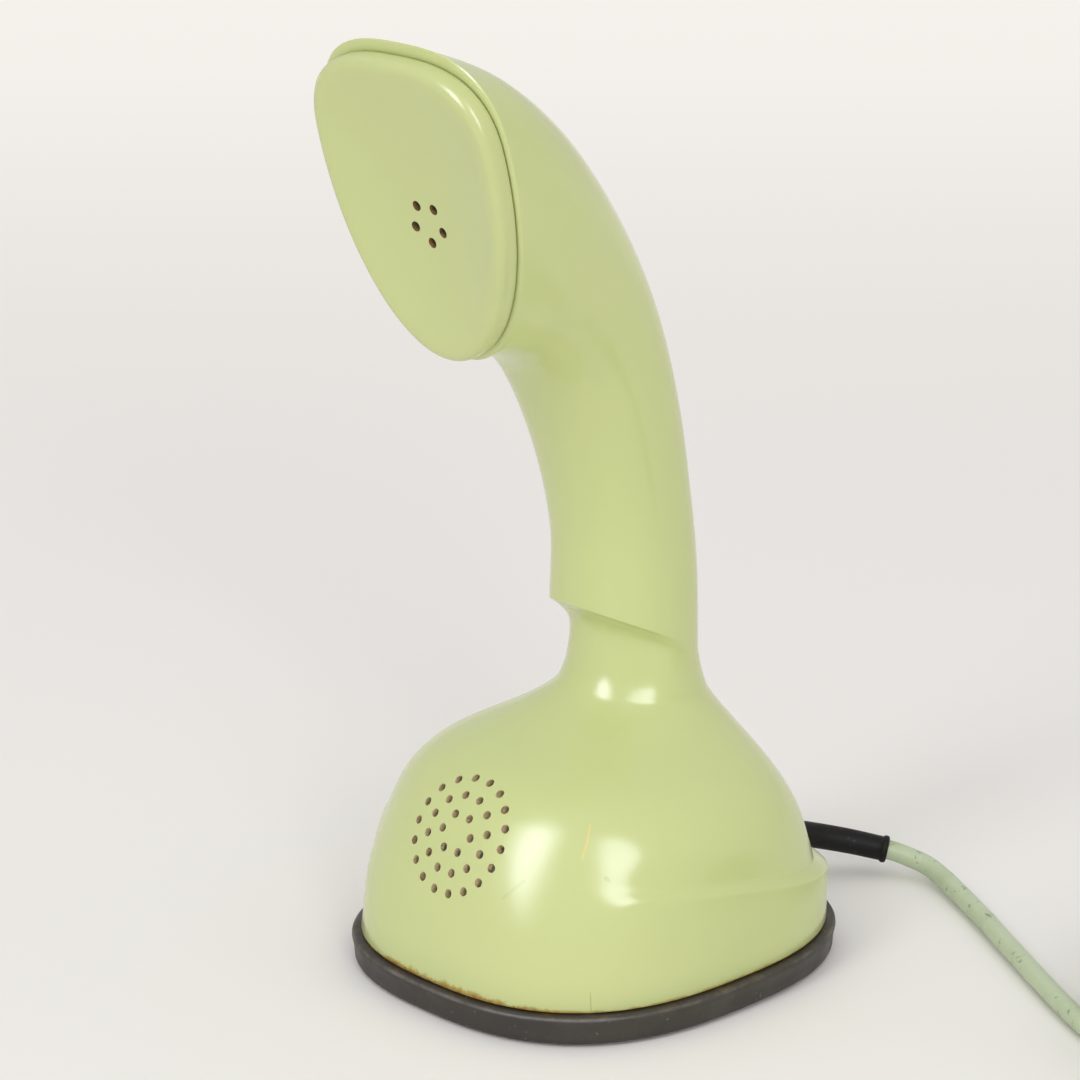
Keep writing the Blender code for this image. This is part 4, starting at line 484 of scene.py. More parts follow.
def blend_front(point, index, turn):
    """The notch fades out along the side, and the crease is rounded off towards the front."""
    high = min(max((index - len(skirt)) / STEPS - NOTCH_EDGE, 0), 3) / 3
    notch = fade(turn, 44 + 20 * high, 125 - 35 * high)
    if notch < 1:
        point = on_section(plain[index], turn).lerp(point, notch)
    if CORNER[0] < index < CORNER[1]:
        rounding = 0.6 * fade(turn, 41, 64) + 0.4 * fade(turn, 60, 115)
        point = point.lerp(round_crease(index, turn), rounding)
    return point


# %% [markdown]
# ## The wall and the rim
# The moulding is about three millimetres thick, and more at the neck. A Solidify modifier would
# fold over itself in the notch, so the inside is its own stack of sections, each taken in from
# one outside. The head's rim ends in a round bead, and the cap sits just inside it.

# %% Rows of the inside
WALL, HANDLE_WALL = 2.6, 2.8
DOME_WALL = {7: 2.8, 6: 3.0, 4: 4.8, 3: 5.4, 2: 4.4, 1: 3.2, 0: 3.2}  # at a section of the dome


def thinner(row, wall):
    """The same section with the wall taken off all round."""
    front = Vector((row[0], row[1]))
    rear = Vector((row[2], row[3]))
    along = (rear - front).normalized() * wall
    front, rear = front + along, rear - along
    return [front.x, front.y, rear.x, rear.y, row[4] - wall, *row[5:]]


inside = [thinner(row, HANDLE_WALL) for row in reversed(HANDLE[1:-1])]
inside += [thinner(DOME[place], wall) for place, wall in DOME_WALL.items()]
inside += [skirt_row(0.3, WALL), skirt_row(0, WALL)]
print("rows of the inside:", len(inside))

# %% Bead of the rim
RIM_FRONT = Vector((0, RIM[0] + MIDDLE_Y, RIM[1]))
RIM_REAR = Vector((0, RIM[2] + MIDDLE_Y, RIM[3]))
FACE_UP = (RIM_REAR - RIM_FRONT).normalized()
FACE_OUT = Vector((1, 0, 0)).cross(FACE_UP)
if FACE_OUT.y > 0:
    FACE_OUT.negate()
LIP = ((0.2, 0.3), (0.6, 0.55), (1.1, 0.62), (1.6, 0.55), (2.1, 0.45), (WALL, 0.4))  # inwards, up
groove_lip = [thinner(RIM, inward) for inward, lift in LIP]
lean = math.degrees(math.atan2(-FACE_OUT.z, -FACE_OUT.y))
print("the head's rim leans", round(lean, 1), "degrees down")


def squeeze(turn):
    """How much lower the cap's edge lies than the rim's all round, in mm."""
    return 1.6 * max(-math.cos(turn), 0) - 0.6 * max(math.cos(turn), 0)


def shape_body(point, index, turn):
    """Notch and crease are softened, and the rim's edge is a round bead."""
    if index < len(outside):
        return blend_front(point, index, turn)
    place = index - len(outside)
    if place >= len(LIP):
        return point
    return point + FACE_OUT * LIP[place][1] - FACE_UP * squeeze(turn) * min(place / 4, 1)


# %% [markdown]
# ## The mouthpiece grille
# Three rings of 6, 12 and 18 holes are drilled along one axis that looks forwards and up. Holes
# drawn in the material would be flat from the side, and holes in the mesh by hand would spoil its
# even rows. They are cut with a Boolean, and the cutters bring the finish of the hole's inside
# with them: brown with dust.

# %% Inside of the holes
hole_finish = Finish("hole_inside", (0.66, 0.54, 0.34), 0.6)
hole_finish.mottle((700, 3), 0.45, 0.7, (0.34, 0.19, 0.09))
hole_finish.mottle((400, 2), 0.5, 0.7, (0.44, 0.44, 0.20))
print("hole nodes:", len(hole_finish.tree.nodes))


# %% Drilling
def axis_place(middle, outward):
    """A matrix whose Z axis points outwards and whose Y axis points up."""
    z_axis = outward.normalized()
    y_axis = z_axis.cross(Vector((1, 0, 0))).normalized()
    matrix = Matrix((Vector((1, 0, 0)), y_axis, z_axis)).transposed().to_4x4()
    matrix.translation = middle
    return matrix


def drill(piece, place, circles, radius, length, slot=1):
    """Cuts rings of round holes. circles holds (pitch radius, count, first turn), in mm."""
    bm = bmesh.new()
    for pitch, count, first in circles:
        for index in range(count):
            angle = first + TURN * index / count
            spot = place @ Matrix.Translation((pitch * math.cos(angle), pitch * math.sin(angle), 0))
            made = bmesh.ops.create_cone(bm, cap_ends=True, segments=20, radius1=radius,
                                         radius2=radius, depth=length, matrix=spot)
            for face in {face for vert in made["verts"] for face in vert.link_faces}:
                face.material_index = slot
    bmesh.ops.scale(bm, vec=(MM, MM, MM), verts=bm.verts)
    mesh = bpy.data.meshes.new("drill")
    bm.to_mesh(mesh)
    bm.free()
    for material in piece.data.materials:
        mesh.materials.append(material)
    cutter = new_object("drill", mesh)
    cut = piece.modifiers.new("holes", "BOOLEAN")
    cut.operation = "DIFFERENCE"
    cut.solver = "EXACT"
    cut.object = cutter
    bpy.context.view_layer.update()
    graph = bpy.context.evaluated_depsgraph_get()
    drilled = bpy.data.meshes.new_from_object(piece.evaluated_get(graph))
    piece.modifiers.clear()
    piece.data = drilled
    bpy.data.objects.remove(cutter)
    drilled.set_sharp_from_angle(angle=math.radians(SHARP))
    print(piece.name, "now has", len(drilled.polygons), "faces")


# %% Dirt in the groove round the cap
groove_dirt = Finish("groove_dirt", (0.40, 0.33, 0.115), 0.6)
groove_dirt.mottle((90, 4), 0.45, 0.6, (0.50, 0.50, 0.20))
groove_dirt.mottle((400, 3), 0.5, 0.65, (0.26, 0.17, 0.05))
print("groove nodes:", len(groove_dirt.tree.nodes))

# %% Make the body and drill its grille
BODY_FINISHES = [plastic, hole_finish, groove_dirt]
GRILLE = ((4.7, 6, 0.0), (9.3, 12, 0.24), (13.9, 18, 0.02))
GRILLE_HOLE, GRILLE_DEPTH = 1.05, 26  # radius and length of the cutters
body_bm = skin([*outside, *groove_lip, *inside], close=True, shift=shape_body)
body_bm.verts.index_update()
dirty_row = len(outside) + len(LIP) - 2
for face in body_bm.faces:
    if min(vert.index for vert in face.verts) // SIDES == dirty_row:
        face.material_index = BODY_FINISHES.index(groove_dirt)
body = put("moulded_body", body_bm, BODY_FINISHES)
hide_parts("shell")
MOUTH = Vector((0.4, -44.6 + MIDDLE_Y, 41.6))
MOUTH_TILT = math.radians(34)
MOUTH_PLACE = axis_place(MOUTH, Vector((0, -math.cos(MOUTH_TILT), math.sin(MOUTH_TILT))))
drill(body, MOUTH_PLACE, GRILLE, GRILLE_HOLE, GRILLE_DEPTH)

# %% [markdown]
# ## The earpiece cap
# The cap closes the head. Its outline is the rim's, a millimetre smaller, and its face is dished
# towards the ear, with a broad round edge. A groove is left between it and the head, where dirt
# has gathered over the years. It could be cut from the head's own mesh, but the two never met
# exactly on the real telephone either. So it is skinned from the rim's outline, and each step says
# how far in it lies, how high, and what share of the outline's size it has.

# %% Steps across the cap
EAR_SHARE = 0.45
CAP_HIGH = 5.8
CAP_DISH = 3.5
CAP_WALL = 2.8
EAR = RIM_FRONT + (RIM_REAR - RIM_FRONT) * EAR_SHARE
cap_steps = [(4.0, CAP_HIGH - CAP_DISH * (1 - share * share), share)
             for share in (0.06, 0.2, 0.35, 0.5, 0.65, 0.8, 0.9, 0.96)]
cap_edge = ((3.85, 0.12), (3.1, 0.04), (2.4, 0.16), (1.75, 0.5), (1.28, 1.05), (1.02, 1.75),
            (0.95, 2.6))  # inwards, down
cap_steps += [(inward, CAP_HIGH - drop, 1) for inward, drop in cap_edge]
cap_steps += [(0.95, 2.2, 1), (0.97, 1.2, 1), (1.15, 0.9, 1), (1.6, 0.82, 1), (4.8, 0.82, 1)]
cap_steps += [(4.8, -1.9, 1), (6.4, -1.9, 1), (6.4, 2.6, 1)]
cap_steps += [(4.0, CAP_HIGH - CAP_WALL - CAP_DISH * (1 - share * share), share)
              for share in (0.8, 0.5, 0.2)]
print("steps across the cap:", len(cap_steps))


# %% Cap
def cap_point(point, index, turn):
    """A point of the rim's outline, brought to its place on the cap."""
    inward, lift, share = cap_steps[index]
    return EAR + (point - EAR) * share + FACE_OUT * lift - FACE_UP * squeeze(turn) * share


cap_mesh = skin([thinner(RIM, inward) for inward, lift, share in cap_steps], shift=cap_point)
bmesh.ops.holes_fill(cap_mesh, edges=[edge for edge in cap_mesh.edges if edge.is_boundary], sides=0)
bmesh.ops.recalc_face_normals(cap_mesh, faces=cap_mesh.faces)
for face in cap_mesh.faces:
    if (face.calc_center_median() / MM - EAR).dot(FACE_OUT) < 1:
        face.material_index = 1  # the groove's dirt
print("cap faces:", len(cap_mesh.faces))

# %% Finish of the cap
cap_finish = Finish("cap_plastic", (0.55, 0.61, 0.27), 0.2)
cap_finish.mottle((14, 3), 0.4, 0.75, (0.60, 0.63, 0.30), 0.35)
cap_finish.mottle((25, 2), 0.45, 0.9, (0.50, 0.54, 0.24), 0.3)
cap_finish.uneven((50, 2), 0.3, 0.8, 0.17, 0.23)
cap_finish.bump((40, 2), 0.05, 0.0004)

# painted shade: the walls of the ear holes are painted dark brown for the shade inside them
ear_hole_shade = Finish("ear_hole_painted_shade", (0.16, 0.12, 0.045), 0.6)
ear_hole_shade.mottle((600, 3), 0.45, 0.65, (0.30, 0.15, 0.05))
cap = put("earpiece_cap", cap_mesh, [cap_finish, groove_dirt, ear_hole_shade])
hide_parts("ear_cap")
EAR_PLACE = axis_place(EAR + FACE_OUT * (CAP_HIGH - CAP_DISH), FACE_OUT)
EAR_HOLES = ((4.7, 5, -math.pi / 2),)
EAR_HOLE, EAR_DEPTH = 1.25, 12  # radius and length of the cutters
drill(cap, EAR_PLACE, EAR_HOLES, EAR_HOLE, EAR_DEPTH, slot=2)

# %% [markdown]
# ## The rubber ring
# The telephone stands on a ring of black rubber that sticks out two millimetres all round. Its
# edges are rounded, its side is slightly hollow, and it is grey with dust. A bevelled ring would
# have a flat side, so its profile is given step by step. In the finish a painted highlight runs as
# a light line along the upper edge, and brown dirt has crept in above it.

# %% Rubber finish
rubber = Finish("foot_rubber", (0.031, 0.026, 0.021), 0.5)
rubber.mottle((30, 5, 0.65), 0.45, 0.75, (0.058, 0.047, 0.034), 0.6)
dust = rubber.ramp(rubber.noise(1500, 2), 0.71, 0.75, 0, 0.5)
rubber.tint(dust, (0.34, 0.32, 0.26))
top = rubber.ramp(rubber.height(), 0.0066, 0.0071)
grime = rubber.math("MULTIPLY", top, rubber.ramp(rubber.noise(160, 4, 0.7), 0.5, 0.7, 0, 0.6))
rubber.tint(grime, (0.13, 0.09, 0.025))
# painted highlight: a light band along the ring's rounded upper edge, broken into streaks by noise
over_side = rubber.ramp(rubber.height(), 0.0061, 0.0066)
under_top = rubber.ramp(rubber.height(), 0.0068, 0.0071, 1, 0)
edge_highlight = rubber.math("MULTIPLY", over_side, under_top)
highlight_streaks = rubber.ramp(rubber.noise(80, 5, 0.7), 0.4, 0.7, 0.1, 0.8)
rubber.tint(rubber.math("MULTIPLY", edge_highlight, highlight_streaks), (0.16, 0.145, 0.115))
rubber.uneven((90, 4), 0.3, 0.7, 0.38, 0.62)
rubber.bump((500, 4), 0.2, 0.0002)
print("rubber nodes:", len(rubber.tree.nodes))


# %% Ring
RING_HALF = (51.7, 56.7)  # across and front to back


def level_row(half_width, half_depth, height):
    """A level section with the foot's roundness."""
    return [-half_depth, height, half_depth, height, half_width, 0.5, FOOT_POWER, FOOT_POWER]


ring_steps = [(8.2, 0.3), (7.9, 0), (2.2, 0), (1.5, 0.12), (0.9, 0.5), (0.6, 1.1), (0.5, 2.4)]
ring_steps += [(0.45, 3.6), (0.2, 5.0), (0, 5.9), (0.04, 6.4), (0.3, 6.85), (0.75, 7.08)]
ring_steps += [(1.5, 7.12), (7.9, 7.12), (8.2, 6.8)]
ring_bm = skin([level_row(RING_HALF[0] - inward, RING_HALF[1] - inward, height)
                for inward, height in ring_steps], close=True)
foot = put("rubber_foot", ring_bm, [rubber])
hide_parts("foot_ring")
print("foot faces:", len(foot.data.polygons))

# %% [markdown]
# ## Strain relief and cord
# The cord leaves the rear through a black sleeve that ends in a bead. The cord is a little bluer
# than the body, and has rubbed on many tables. It runs over the table out of view, and the rest of
# its 1.6 m lies in a round coil there, so that the telephone still fits on a shelf. A simulated
# rope would lie a little differently each time, so the route is a list of points with a smooth
# curve through them. The sleeve is extruded along its route, because its radius changes.

# %% Routes
def smooth_route(points, spacing, fine=24):
    """A curve through the points, with a point about every spacing, in mm."""
    dense = [Vector(row) for row in rounded_rows([list(point) for point in points], fine)]
    kept = [dense[0]]
    for point in dense[1:-1]:
        if (point - kept[-1]).length >= spacing:
            kept.append(point)
    if (dense[-1] - kept[-1]).length < spacing / 2:
        kept.pop()
    return [*kept, dense[-1]]


def from_middle(x, y, z):
    """A point that is given from the foot's middle."""
    return Vector((x, y + MIDDLE_Y, z))


relief_route = [from_middle(*point) for point in (
    (0, 47.6, 15.2), (0, 54, 15.2), (0.8, 62, 13.6), (3.6, 72.5, 10.4), (9.6, 81.2, 7.9),
    (17.4, 87.4, 6.1))]
cord_route = [from_middle(*point) for point in (
    (18.1, 87.95, 5.94), (21.8, 89.6, 5.1), (28.4, 90.6, 3.9), (36.4, 88.2, 3), (47.5, 82.9, 2.6),
    (59, 76.9, 2.5), (70, 70.6, 2.5), (81, 64.4, 2.5), (92, 58.2, 2.5), (103, 52.2, 2.5),
    (114, 46.6, 2.5))]
print("points given:", len(relief_route) + len(cord_route))

# %% Coil
CORD_RADIUS = 2.5
COIL_MIDDLE = from_middle(142.6, 72.2, 0)
COIL_OUTER = 33.6
COIL_START = math.radians(256)
COIL_STEP = 5.7  # from one turn to the next, sideways and up
PER_TURN = 24
LAYER = 49  # points in one layer, which is two turns
coil = []
reach, rise = COIL_OUTER, CORD_RADIUS
for index in range(4 * LAYER + 1):
    angle = COIL_START + TURN * index / PER_TURN
    coil.append(COIL_MIDDLE + Vector((reach * math.cos(angle), reach * math.sin(angle), rise)))
    if index % LAYER >= LAYER - PER_TURN // 2 and index < 3 * LAYER:
        rise += COIL_STEP / (PER_TURN // 2)
    reach += COIL_STEP / PER_TURN * (-1 if (index // LAYER) % 2 == 0 else 1)
print("points of the coil:", len(coil))

# %% The whole cord
TO_PLUG, PLUG_CORD_HIGH = 44, 3.5  # from the coil to the plug, and how high the cord enters it
SINKING = (0.97, 0.8, 0.42, 0.08, 0, 0)  # share of the coil's height that is left on the way there
IN_BEAD, BEFORE_COIL = 1.2, 8.6  # hidden in the bead, and the last straight before the coil
end_turn = COIL_START + TURN * 4 * LAYER / PER_TURN
ahead = Vector((-math.sin(end_turn), math.cos(end_turn), 0))
last = coil[-1].copy()
for number, drop in enumerate(SINKING, 1):
    point = last + ahead * TO_PLUG * number / len(SINKING)
    point.z = PLUG_CORD_HIGH + (last.z - PLUG_CORD_HIGH) * drop
    coil.append(point)
start_tangent = Vector((-math.sin(COIL_START), math.cos(COIL_START), 0))
into_bead = (relief_route[-1] - relief_route[-2]).normalized()
whole_route = [relief_route[-1] - into_bead * IN_BEAD, *cord_route,
               coil[0] - start_tangent * BEFORE_COIL, *coil]
cord_points = smooth_route(whole_route, 1.6, 8)

# %% Sleeve
def sleeve(route, radii, sides=32):
    """Extrudes a circle along a route, with a radius at each point."""
    bm = bmesh.new()
    ring = bmesh.ops.create_circle(bm, segments=sides, radius=1, cap_ends=True)["verts"]
    shape = [vert.co.copy() for vert in ring]
    edges = list(bm.edges)
    for index, (point, radius) in enumerate(zip(route, radii)):
        if index:
            ring, edges = grow(bm, edges)
        heading = route[min(index + 1, len(route) - 1)] - route[max(index - 1, 0)]
        side = heading.cross(Vector((0, 0, 1))).normalized()
        up = side.cross(heading).normalized()
        for vert, flat in zip(ring, shape):
            vert.co = (point + (side * flat.x + up * flat.y) * radius) * MM
    bmesh.ops.contextual_create(bm, geom=edges)
    bmesh.ops.recalc_face_normals(bm, faces=bm.faces)
    return bm


# %% Route of the sleeve, with its bead
SLEEVE_RADIUS, SLEEVE_TAPER, BEAD_LENGTH = 3.5, 0.4, 2.4
BEAD = ((1.7, 3.12), (1.6, 3.3), (1.35, 3.46), (1.05, 3.52), (0.7, 3.5), (0.35, 3.4), (0.1, 3.1),
        (0, 2.6))  # distance from the tip, radius
relief_points = smooth_route(relief_route, 1.0)
tip, heading = relief_points[-1], (relief_points[-1] - relief_points[-2]).normalized()
relief_radii = [SLEEVE_RADIUS - SLEEVE_TAPER * index / len(relief_points)
                for index in range(len(relief_points))]
plain_count = sum((tip - point).dot(heading) > BEAD_LENGTH for point in relief_points)
relief_points[plain_count:] = [tip - heading * back for back, radius in BEAD]
relief_radii[plain_count:] = [radius for back, radius in BEAD]
print("rings of the sleeve:", len(relief_points))

# %% Sleeve piece
black_sleeve = Finish("sleeve_rubber", (0.013, 0.0125, 0.012), 0.5)
fill(black_sleeve.shader, Specular_IOR_Level=0.14)
black_sleeve.mottle((900, 3), 0.62, 0.72, (0.09, 0.09, 0.08), 0.25)
black_sleeve.uneven((150, 4), 0.3, 0.7, 0.38, 0.55)
relief = put("cord_sleeve", sleeve(relief_points, relief_radii), [black_sleeve], smooth=50)
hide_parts("strain_relief")
print("sleeve faces:", len(relief.data.polygons))

# %% [markdown]
# ## The plug
# The plug is a flat black moulding with a grip of shallow ribs. The ribs could be cut out with a
# Boolean, but a block with bevelled edges that is cut into strips, with each second strip drawn in
# a little, has cleaner faces. It covers the plain block of the solids. The two brass pins are
# solids and stay as they are.

# %% Plug
low, high = (Vector(corner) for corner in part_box("plug_body"))
PLUG_SIZE = (36, 24, 17)
RIBS = [-11 + 2.6 * number for number in range(6)]
RIB_HALF = 0.55
RIB_SHRINK = (1, 0.965, 0.95, 1)
plug_middle = (low + high) / 2 / MM
plug_turn = Matrix.Translation(plug_middle) @ Matrix.Rotation(end_turn + math.pi / 2, 4, "Z")
plug_bm = bmesh.new()
bmesh.ops.create_cube(plug_bm, size=1, matrix=Matrix.Diagonal((*PLUG_SIZE, 1)))
bmesh.ops.bevel(plug_bm, geom=list(plug_bm.edges), offset=3, segments=4, profile=0.5, affect="EDGES",
                material=-1)
for rib in RIBS:
    for offset in (-RIB_HALF, RIB_HALF) * 2:  # each plane cuts twice, which leaves a doubled edge
        bmesh.ops.bisect_plane(plug_bm, geom=[*plug_bm.verts, *plug_bm.edges, *plug_bm.faces],
                               plane_co=(rib + offset, 0, 0), plane_no=(1, 0, 0))
grip = [vert for vert in plug_bm.verts if any(abs(vert.co.x - rib) < RIB_HALF * 1.1 for rib in RIBS)]
bmesh.ops.transform(plug_bm, matrix=Matrix.Diagonal(RIB_SHRINK), verts=grip)
bmesh.ops.transform(plug_bm, matrix=plug_turn, verts=plug_bm.verts)
bmesh.ops.scale(plug_bm, vec=(MM, MM, MM), verts=plug_bm.verts)
print("plug faces:", len(plug_bm.faces))

# %% Plug piece
plug_black = Finish("plug_moulding", (0.02, 0.02, 0.022), 0.35)
plug_black.mottle((60, 4), 0.45, 0.75, (0.045, 0.044, 0.04), 0.4)
plug_black.uneven((180, 4), 0.3, 0.7, 0.28, 0.5)
plug_black.bump((900, 2), 0.08, 0.0001)
plug = put("plug_moulding", plug_bm, [plug_black], smooth=40)
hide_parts("plug_body")

# %% [markdown]
# ## The cord's sheath
# The sheath is a matt plastic, scuffed and spotted from the table. An image along the cord would
# show its repeats, so the spots are noise of three sizes. Near the sleeve it is browner, where it
# is handled most and stands highest above the table.

# %% Cord finish
sheath = Finish("cord_sheath", (0.50, 0.585, 0.40), 0.42)
sheath.tint(sheath.ramp(sheath.height(), 0.0072, 0.0092, 0, 0.85), (0.34, 0.37, 0.16))
sheath.mottle((60, 5, 0.7), 0.42, 0.7, (0.40, 0.47, 0.30), 0.5)
sheath.mottle((330, 4, 0.75), 0.60, 0.66, (0.13, 0.16, 0.10), 0.75)
sheath.mottle((900, 3), 0.66, 0.7, (0.66, 0.70, 0.55), 0.5)
sheath.uneven((120, 4), 0.3, 0.7, 0.34, 0.55)
sheath.bump((420, 4), 0.15, 0.0002)
print("sheath nodes:", len(sheath.tree.nodes))

# %% Cord piece
cord_data = bpy.data.curves.new("telephone_cord", "CURVE")
cord_data.dimensions = "3D"
cord_data.bevel_depth = CORD_RADIUS * MM
cord_data.bevel_resolution = 4
cord_data.use_fill_caps = True
line = cord_data.splines.new("POLY")
line.points.add(len(cord_points) - 1)
for knot, point in zip(line.points, cord_points):
    knot.co = (*(point * MM), 1)
line.use_smooth = True
cord_data.materials.append(sheath.material)
cord = new_object("telephone_cord", cord_data)
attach(cord, "base")
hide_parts("cord_run", "cord_coil")

# %% [markdown]
# ## The dial underneath
# The dial lies in the middle of the base plate: a black finger wheel over an ivory number plate, a
# steel stop and the red button that the table pushes in. They could be modelled anew, but the
# solids already have these shapes, so they only need smooth shading and a finish. Their faces are
# loose triangles, which two modifiers join and then part again at the sharp edges. The mesh itself
# isn't touched.

# %% Smooth shading for the solids
SPLIT = math.radians(32)
dressed = []


def smooth_solid(solid):
    """Joins loose triangles and parts them at the sharp edges, by modifiers."""
    solid.data.shade_smooth()
    joined = solid.modifiers.new("joined", "WELD")
    joined.merge_threshold = 0.00001
    parted = solid.modifiers.new("parted", "EDGE_SPLIT")
    parted.split_angle = SPLIT


def dress(finish, *names):
    """Gives these solids a finish and smooth shading."""
    for name in names:
        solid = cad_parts[name]
        solid.data.materials.clear()
        solid.data.materials.append(finish.material)
        smooth_solid(solid)
        dressed.append(name)


# %% [markdown]
# ## Plastics and metals of the works
# The underside and the works are made of moulded and pressed plastics, felt and four metals. Each
# could have one flat value, but handled plastic is blotchy and metal shows how it was worked. So
# each finish has a second colour and a roughness that follow noise, and drawn or wound metal has
# its noise stretched along the work.

# %% Plastics of the underside
plate_black = Finish("plate_black", (0.022, 0.022, 0.023), 0.45)
plate_black.mottle((35, 4), 0.45, 0.75, (0.05, 0.048, 0.042), 0.5)
plate_black.mottle((1300, 2), 0.7, 0.74, (0.25, 0.24, 0.2), 0.5)
plate_black.uneven((120, 4), 0.3, 0.7, 0.38, 0.6)
plate_black.bump((1500, 2), 0.12, 0.0001)

wheel_black = Finish("wheel_black", (0.014, 0.014, 0.016), 0.16)
wheel_black.mottle((50, 4), 0.5, 0.8, (0.03, 0.03, 0.03), 0.4)
wheel_black.uneven((240, 5), 0.35, 0.75, 0.12, 0.34)
wheel_black.bump((80, 2), 0.05, 0.0002)

ivory = Finish("number_plate_ivory", (0.72, 0.69, 0.58), 0.3)
ivory.mottle((40, 4), 0.45, 0.8, (0.66, 0.61, 0.46), 0.4)
ivory.uneven((150, 4), 0.3, 0.7, 0.24, 0.42)

button_red = Finish("button_red", (0.5, 0.022, 0.016), 0.22)
button_red.mottle((120, 4), 0.45, 0.75, (0.34, 0.015, 0.012), 0.4)
button_red.uneven((500, 4), 0.35, 0.7, 0.16, 0.4)

bakelite = Finish("brown_bakelite", (0.1, 0.045, 0.022), 0.32)
bakelite.mottle((90, 5, 0.7), 0.4, 0.7, (0.055, 0.022, 0.012), 0.7)
bakelite.uneven((300, 3), 0.3, 0.7, 0.26, 0.42)

felt = Finish("pressed_felt", (0.2, 0.19, 0.17), 0.95)
felt.mottle((1800, 4, 0.7), 0.35, 0.65, (0.12, 0.115, 0.1))
felt.bump((2400, 4), 0.5, 0.0003)
print("felt nodes:", len(felt.tree.nodes))

# %% Metals
steel = Finish("plain_steel", (0.56, 0.57, 0.58), 0.3, 1.0)
steel.mottle((70, 4), 0.5, 0.8, (0.40, 0.39, 0.37), 0.6)
steel.uneven((300, 5, 0.6, (1, 14, 1)), 0.3, 0.7, 0.2, 0.42)

brass = Finish("turned_brass", (0.78, 0.57, 0.22), 0.3, 1.0)
brass.mottle((90, 4), 0.45, 0.75, (0.52, 0.34, 0.13), 0.7)
brass.uneven((400, 4), 0.3, 0.7, 0.22, 0.44)

aluminium = Finish("drawn_aluminium", (0.75, 0.75, 0.74), 0.35, 1.0)
aluminium.mottle((80, 3), 0.5, 0.8, (0.58, 0.58, 0.57), 0.5)
aluminium.uneven((500, 3, 0.5, (1, 1, 9)), 0.3, 0.7, 0.28, 0.46)

copper = Finish("wound_copper", (0.6, 0.25, 0.11), 0.4, 1.0)
copper.mottle((2600, 2, 0.5, (1, 0.05, 0.05)), 0.4, 0.6, (0.36, 0.13, 0.05))
copper.uneven((500, 3), 0.3, 0.7, 0.32, 0.5)
print("copper nodes:", len(copper.tree.nodes))

# %% Dress the solids
dress(plate_black, "base_plate", "receiver_lead", "transmitter_lead")
dress(wheel_black, "finger_wheel")
dress(ivory, "dial_number_plate")
dress(button_red, "hook_button")
dress(bakelite, "transmitter_holder", "contact_block", "impulse_cam", "hook_switch_block",
      "coil_bobbin", "terminal_board")
dress(felt, "transmitter_felt")
dress(steel, *[f"base_screw_{number}" for number in range(1, 5)], "finger_stop", "dial_frame",
      "dial_bridge", "dial_shaft", "hook_rod", "hook_spring", "hook_bracket", "hook_pivot_pin",
      "hook_lever", "return_spring", "receiver_diaphragm", "coil_core", "impulse_pinion",
      "impulse_shaft", "governor_pinion", "governor_shaft")
dress(brass, "dial_bush", "main_gear", "impulse_wheel", "governor_cup", "governor_weight",
      "contact_blade_1", "contact_blade_2", "hook_switch_blade_1", "hook_switch_blade_2",
      "terminal_screw_1", "terminal_screw_2", "terminal_screw_3", "receiver_ring", "plug_pin_1",
      "plug_pin_2")
dress(aluminium, "receiver_capsule", "transmitter_capsule", "capacitor")
dress(copper, "coil_winding")
dress(sheath, "cord_tail")
replaced = {"shell", "ear_cap", "foot_ring", "strain_relief", "plug_body", "cord_run", "cord_coil"}
print("solids without a finish:", sorted(set(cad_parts) - set(dressed) - replaced))

# %% [markdown]
# ## Numbers on the dial
# The numbers are printed on the ivory plate and read from below, through the finger holes. They
# could be drawn in the plate's finish, but a font gives cleaner figures. Each one starts as a text
# object, becomes a thin mesh, and is turned face down before it goes to its place, with its foot
# towards the button. The order is the one that the dial turns in.

# %% Ink
ink = Finish("number_ink", (0.02, 0.02, 0.02), 0.5)
ink.mottle((1400, 3), 0.55, 0.7, (0.09, 0.085, 0.075), 0.5)
ink.uneven((900, 2), 0.3, 0.7, 0.4, 0.6)
print("ink nodes:", len(ink.tree.nodes))

# %% Numbers
NUMBER_RING, NUMBER_FACE, NUMBER_HIGH = 27.5, 6.0, 6.4
STOP_ANGLE, FINGER_STEP = math.radians(-60), math.radians(30)
CAPITAL = 0.7  # height of a figure as a share of the font's size
numbers_bm = bmesh.new()
for hole, figure in enumerate("0987654321", 1):
    letter = bpy.data.curves.new("figure", "FONT")
    letter.body = figure
    letter.size = NUMBER_HIGH / CAPITAL
    letter.align_x, letter.align_y = "CENTER", "CENTER"
    letter.extrude = 0.05
    letter.resolution_u = 6
    printed = new_object("figure", letter)
    bpy.context.view_layer.update()
    graph = bpy.context.evaluated_depsgraph_get()
    flat = bpy.data.meshes.new_from_object(printed.evaluated_get(graph))
    angle = STOP_ANGLE + FINGER_STEP * hole
    place = from_middle(NUMBER_RING * math.cos(angle), NUMBER_RING * math.sin(angle), NUMBER_FACE)
    upright = Matrix.Rotation(angle - math.pi / 2, 4, "Z") @ Matrix.Rotation(math.pi, 4, "Y")
    flat.transform(Matrix.Scale(MM, 4) @ Matrix.Translation(place) @ upright)
    numbers_bm.from_mesh(flat)
    bpy.data.objects.remove(printed)
bmesh.ops.remove_doubles(numbers_bm, verts=numbers_bm.verts, dist=0.000001)
numbers = put("dial_numbers", numbers_bm, [ink], smooth=30)
print("number faces:", len(numbers.data.polygons))

# %% [markdown]
# ## Stage and light
# The photograph was taken on a pale sweep under large soft lamps. A curved sheet would show its
# bend from other sides, so the floor is one level sheet. It keeps the telephone's soft shadow, and
# far behind the telephone it turns into an even backdrop that glows as the sky does. The sky gives
# an even light from all sides.

